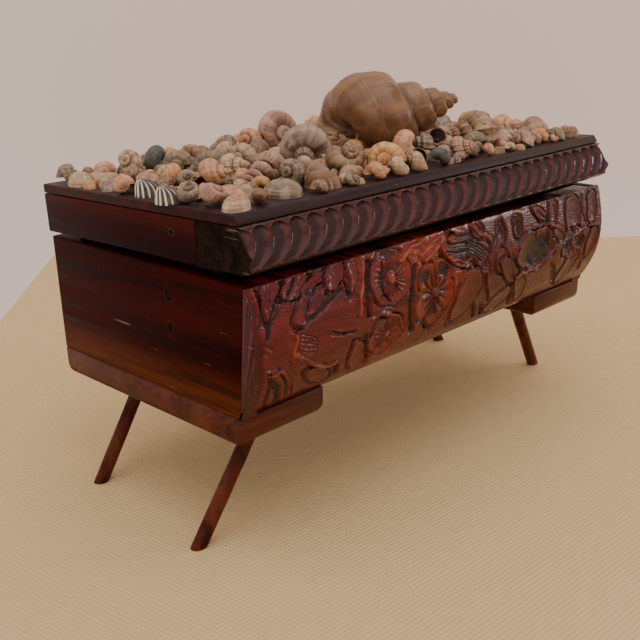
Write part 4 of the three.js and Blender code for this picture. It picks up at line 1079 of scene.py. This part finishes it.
# The shells that the CAD places: kind, material, heading, pitch and the way that the mouth faces
shells = {
    "whelk": ("whelk", "tan", -40, 13, "down"), "moon_pink": ("moon", "pink", -100, 5, "down"),
    "snail_grey_big": ("moon", "grey", -130, -12, "back"),
    "moon_honey": ("moon", "orange", -138, 18, "down"),
    "snail_chipped": ("moon", "brown", -120, 35, "back"),
    "cone_ringed": ("cone", "pink", 178, -22, "down"), "moon_olive": ("moon", "olive", -135, 10, "down"),
    "turban_cream": ("turban", "cream", -80, 15, "back"),
    "snail_peach_arch": ("snail", "peach", -60, 10, "front"),
    "moon_green_dark": ("moon", "slate", 90, 20, "back"),
    "snail_olive": ("moon", "olive", -130, 15, "down"),
    "snail_brown_nubby": ("turban", "brown", 30, 20, "down"),
    "snail_green_grey": ("moon", "olive", -50, 5, "down"),
    "snail_tan_blue": ("moon", "tan", 120, 20, "down"),
    "snail_peach_small": ("snail", "orange", 80, 26, "down"),
    "snail_black_marked": ("snail", "grey", -120, 40, "down"),
    "snail_peach_holed": ("snail", "peach", -120, 20, "down"),
    "turban_brown": ("turban", "brown", 40, 20, "down"),
    "periwinkle_grey": ("snail", "grey", -130, 60, "back"),
    "snail_pink_bean": ("moon", "pink", -60, 50, "right"), "stub_tan": ("cone", "tan", -130, 15, "down"),
    "snail_dark_mouth": ("snail", "brown", 140, 40, "camera"),
    "turban_banded": ("turban", "grey", 130, 5, "camera"),
    "snail_green_orange": ("moon", "slate", -10, 10, "down"),
    "turban_pink": ("turban", "pink", -70, 10, "down"),
    "whelk_broken": ("turban", "brown", 150, -4, "down"),
    "knob_cream": ("snail", "cream", -60, 40, "down"),
    "snail_orange": ("moon", "orange", -50, 10, "down"),
    "snail_terracotta": ("snail", "peach", -100, 20, "down"),
    "snail_brown_right": ("snail", "brown", 20, 20, "down"),
    "moon_grey_right": ("moon", "grey", 60, 20, "down"),
    "snail_ochre": ("snail", "orange", -40, 25, "down"),
    "snail_tan_back": ("snail", "tan", 60, 20, "down"),
    "moon_cream_back": ("moon", "cream", 80, 20, "down"),
}
valves = {
    "cockle_striped": ("cockle", "cream", 60), "cockle_striped_front": ("striped", "striped", 130),
    "clam_beige": ("clam", "cream", 20), "limpet_grey": ("limpet", "grey", 60),
    "cockle_tan": ("cockle", "tan", -170),
}
shellMeshes = []  # every finished shell's points, for keeping the little ones clear of them
# Drawn larger than the solid's box and hung from its top. above and sunk are shares of the height.
grown = {"shell_whelk": 1.12, "shell_cone_ringed": 1.12}
above = 0.07
sunk = 0.02


def seatShell(mesh, node, turn):  # sized and placed to stand where the CAD's solid does
    low, high = boxInMm(node)
    bmesh.ops.transform(mesh, matrix=turn, verts=mesh.verts)
    ownLow, ownHigh = boxOf(mesh)
    wanted, own = high - low, ownHigh - ownLow
    size = (wanted.x * wanted.y * wanted.z / (own.x * own.y * own.z)) ** (1 / 3) * grown.get(node, 1)
    bmesh.ops.scale(mesh, vec=(size, size, size), verts=mesh.verts)
    ownLow, ownHigh = boxOf(mesh)
    centre = (ownLow + ownHigh) / 2
    if node in grown:
        rise = high.z - ownHigh.z + above * (high.z - low.z)
    else:
        rise = low.z - ownLow.z - sunk * (ownHigh.z - ownLow.z)
    move = ((low.x + high.x) / 2 - centre.x, (low.y + high.y) / 2 - centre.y, rise)
    bmesh.ops.translate(mesh, vec=move, verts=mesh.verts)
    shellMeshes.append([v.co.copy() for v in mesh.verts])


for number, (name, (kind, look, heading, pitch, facing)) in enumerate(shells.items()):
    coil = makeCoil(kind, number * 0.37, seed=number)
    seatShell(coil, "shell_" + name, turnTo(heading, pitch, facings[facing]))
    finishPiece(coil, "shell." + name, ["shell_" + name],
                [shellMaterials[look], mouthMaterial], 50)
for number, (name, (kind, look, heading)) in enumerate(valves.items()):
    valve = makeValve(kind, number * 0.37, seed=number)
    seatShell(valve, "shell_" + name, Matrix.Rotation(math.radians(heading), 4, "Z"))
    finishPiece(valve, "shell." + name, ["shell_" + name],
                [shellMaterials[look]], 50)
print("shells made")


# Little shells fill the clusters and the gaps between the others
little = {"seed": 11, "tries": 12000, "smallest": 2.8, "largest": 7.2, "overlap": 0.82, "edge": 0.4,
          "backGap": 2.4, "level": 0.75, "fineness": 0.55, "sunk": 0.15, "pitches": (0, 10, 25),
          "kinds": ("snail", "moon", "cockle", "snail", "clam", "moon"), "facings": ("down", "down", "back"),
          "looks": ("cream", "brown", "peach", "grey", "cream", "olive", "pink", "orange")}
# Four at the left that the photo shows: kind, look, place, radius and heading. The places come from a
# separate script, which turned points picked on the photo by eye into millimetres.
chosen = (("striped", "striped", (-122, -18), 5.2, 140), ("cockle", "cream", (-110, 47), 5.4, 70),
          ("cockle", "grey", (-118, 26), 4.6, 30), ("cockle", "peach", (-99, 24), 4.8, 60))
clusters = {"back_left": "cream", "back_middle": "brown", "back_right": "grey"}


def lidSurface(y):  # the lid's upper face rises a little towards the front
    share = (y - lidLow.y) / (lidHigh.y - lidLow.y)
    tilt = math.tan(math.radians(moulding["tilt"])) * (lidHigh.y - lidLow.y)
    return lidHigh.z - tilt * share


def clearOf(centre, radius, placed):  # no placed one is nearer than the overlap allows
    return all((centre - one[0]).length >= (radius + one[1]) * little["overlap"] for one in placed)


def placeLittle():
    picker = random.Random(little["seed"])
    known = KDTree(sum(len(points) for points in shellMeshes))
    number = 0
    for points in shellMeshes:
        for point in points:
            known.insert(point, number)
            number += 1
    known.balance()
    placed = []
    for kind, look, (x, y), radius, heading in chosen:
        centre = Vector((x, y, lidSurface(y) + radius * 0.4))
        if known.find(centre)[2] > radius * 0.55:
            placed.append((centre, radius, kind, look, heading))
    print("chosen shells:", len(placed))
    for attempt in range(little["tries"]):
        share = 1 - attempt / little["tries"]
        spread = (little["largest"] - little["smallest"]) * share
        radius = little["smallest"] + spread * picker.random() ** 0.5
        x = picker.uniform(lidLow.x + radius + little["edge"], lidHigh.x - radius - little["edge"])
        y = picker.uniform(lidLow.y + little["backGap"] + radius + little["edge"],
                           lidHigh.y - radius - little["edge"])
        centre = Vector((x, y, lidSurface(y) + radius * little["level"]))
        if known.find(centre)[2] < radius * little["overlap"]:
            continue
        if not clearOf(centre, radius, placed):
            continue
        placed.append((centre, radius, picker.choice(little["kinds"]), picker.choice(little["looks"]),
                       picker.uniform(0, 360)))
    return placed


def fillGaps():
    picker = random.Random(little["seed"] + 1)
    patterns = {}
    for kind in dict.fromkeys((*little["kinds"], "striped")):
        make = makeValve if kind in valveKinds else makeCoil
        patterns[kind] = make(kind, 0, little["fineness"])
    heaps = {look: bmesh.new() for look in dict.fromkeys((*little["looks"], "striped"))}
    for heap in heaps.values():
        heap.verts.layers.float_vector.new("coil")
    for centre, radius, kind, look, heading in placeLittle():
        one = patterns[kind].copy()
        if kind in valveKinds:
            turn = Matrix.Rotation(math.radians(heading), 4, "Z")
        else:
            pitch = picker.choice(little["pitches"])
            facing = facings[picker.choice(little["facings"])]
            turn = turnTo(heading, pitch, facing)
        bmesh.ops.transform(one, matrix=turn, verts=one.verts)
        low, high = boxOf(one)
        size = 2 * radius / max(high.x - low.x, high.y - low.y)
        bmesh.ops.scale(one, vec=(size, size, size), verts=one.verts)
        low, high = boxOf(one)
        middle = (low + high) / 2
        floor = lidSurface(centre.y)
        move = (centre.x - middle.x, centre.y - middle.y, floor - low.z - little["sunk"])
        bmesh.ops.translate(one, vec=move, verts=one.verts)
        data = bpy.data.meshes.new("little")
        one.to_mesh(data)
        one.free()
        heaps[look].from_mesh(data)
        bpy.data.meshes.remove(data)
    for look, heap in heaps.items():
        nodes = ["shell_cluster_" + name for name, own in clusters.items() if own == look]
        finishPiece(heap, "littleShells." + look, nodes, [shellMaterials[look], mouthMaterial], 50)
    print("little shells placed")


fillGaps()


# Floor, light and camera
stage = {"cloth": (0.71, 0.515, 0.265), "wall": (0.8, 0.68, 0.63), "cell": (3.2, 2.6), "shade": 0.86,
         "corner": (0.079, 0.43), "turn": -42.5, "size": 1.6, "thick": 0.03, "wallGap": 0.12, "wallSize": 5.0}


def plainStuff(name, colour, roughness, woven=False):
    material, tree, shader = newMaterial(name, roughness)
    shader.inputs["Base Color"].default_value = (*colour, 1)
    shader.inputs["Specular IOR Level"].default_value = 0.2
    if woven:  # an embossed grid that runs with the table's edges
        place = objectPlace(tree)
        turned = addNode(tree, "ShaderNodeVectorRotate", {
            "Vector": place, "Angle": math.radians(-stage["turn"])})
        spots = noiseNode(tree, place, 160.0, 3.0)
        sides = axesOf(tree, turned.outputs["Vector"])
        waves = []
        for side, cell in zip("XY", stage["cell"]):
            shift = mathNode(tree, "MULTIPLY", spots, 1.2)
            angle = mathNode(tree, "MULTIPLY", sides[side], 2 * math.pi / (cell * mm))
            waves.append(mathNode(tree, "SINE", mathNode(tree, "ADD", angle, shift)))
        crossed = mathNode(tree, "MULTIPLY", *waves)
        weave = mathNode(tree, "ADD", crossed, mathNode(tree, "MULTIPLY", spots, 1.5))
        share = spanNode(tree, weave, -0.2, 1.6)
        shade = tuple(stage["shade"] * value for value in colour)
        tree.links.new(mixColours(tree, share, shade, colour), shader.inputs["Base Color"])
        bumpOn(tree, shader, weave, 0.35, 0.7)
    return material


def stagePiece(name, mesh, material):
    data = bpy.data.meshes.new(name)
    mesh.to_mesh(data)
    mesh.free()
    data.materials.append(material)
    piece = bpy.data.objects.new(name, data)
    bpy.context.scene.collection.objects.link(piece)


def makeStage():  # the table ends a little way behind the box, with a pale wall beyond it
    place = Matrix.Translation((*stage["corner"], 0)) @ Matrix.Rotation(math.radians(stage["turn"]), 4, "Z")
    table = bmesh.new()
    size = stage["size"]
    bmesh.ops.create_cube(table, size=1)
    bmesh.ops.transform(table, verts=table.verts, matrix=place @ Matrix.Translation(
        (size / 2, -size / 2, -stage["thick"] / 2)) @ Matrix.Diagonal((size, size, stage["thick"], 1)))
    stagePiece("floor", table, plainStuff("tableCloth", stage["cloth"], 0.7, True))
    wall = bmesh.new()
    bmesh.ops.create_grid(wall, x_segments=1, y_segments=1, size=stage["wallSize"])
    bmesh.ops.transform(wall, verts=wall.verts, matrix=place @ Matrix.Translation(
        (0, stage["wallGap"], 0)) @ Matrix.Rotation(math.radians(90), 4, "X"))
    stagePiece("wall", wall, plainStuff("paintedWall", stage["wall"], 0.8))


def areaLight(name, place, target, size, power, colour):
    data = bpy.data.lights.new(name, "AREA")
    data.shape = "RECTANGLE"
    data.size, data.size_y = size
    data.energy = power
    data.color = colour
    light = bpy.data.objects.new(name, data)
    light.location = place
    light.rotation_euler = (Vector(place) - Vector(target)).to_track_quat("Z", "Y").to_euler()
    bpy.context.scene.collection.objects.link(light)


makeStage()
middle = (0, 0, 0.08)  # what the lights look at
lights = {  # place, size, power, colour
    "windowLight": ((1.0, 0.15, 0.5), (0.28, 0.36), 14.0, (1.0, 0.96, 0.92)),
    "glintLight": ((0.85, -0.6, 0.32), (0.08, 0.35), 1.4, (1.0, 0.97, 0.94)),
    "ceilingLight": ((-0.1, -0.1, 1.5), (1.8, 1.8), 13.0, (1.0, 0.95, 0.92)),
}
for lightName, (place, size, power, colour) in lights.items():
    areaLight(lightName, place, middle, size, power, colour)
room = {"colour": (0.53, 0.48, 0.45), "strength": 1.8}
world = bpy.data.worlds.new("room")
bpy.context.scene.world = world
world.use_nodes = True
background = world.node_tree.nodes["Background"].inputs
background["Color"].default_value = (*room["colour"], 1)
background["Strength"].default_value = room["strength"]
print("stage and lights made")

# The camera's numbers come from a separate script, which fitted the box's edges to the photo. The target
# and the distance are in millimetres.
camera = {"target": (-33.94, 4.23, 37.38), "distance": 447.84, "azimuth": -44.67, "elevation": 21.88,
          "roll": -1.37, "lens": 51.22, "shiftX": 0.03125, "shiftY": 0.078}


def makeCamera():
    azimuth, elevation, roll = (math.radians(camera[k]) for k in ("azimuth", "elevation", "roll"))
    back = Vector((math.sin(azimuth) * math.cos(elevation), -math.cos(azimuth) * math.cos(elevation),
                   math.sin(elevation)))
    right = (-back).cross(Vector((0, 0, 1))).normalized()
    up = right.cross(-back)
    across = right * math.cos(roll) + up * math.sin(roll)
    rise = -right * math.sin(roll) + up * math.cos(roll)
    data = bpy.data.cameras.new("camera")
    data.lens = camera["lens"]
    data.shift_x = camera["shiftX"]
    data.shift_y = camera["shiftY"]
    data.clip_start = 0.01
    made = bpy.data.objects.new("camera", data)
    place = (Vector(camera["target"]) + back * camera["distance"]) * mm
    made.matrix_world = Matrix((
        (across.x, rise.x, back.x, place.x), (across.y, rise.y, back.y, place.y),
        (across.z, rise.z, back.z, place.z), (0, 0, 0, 1)))
    bpy.context.scene.collection.objects.link(made)
    bpy.context.scene.camera = made


makeCamera()
print("scene ready")
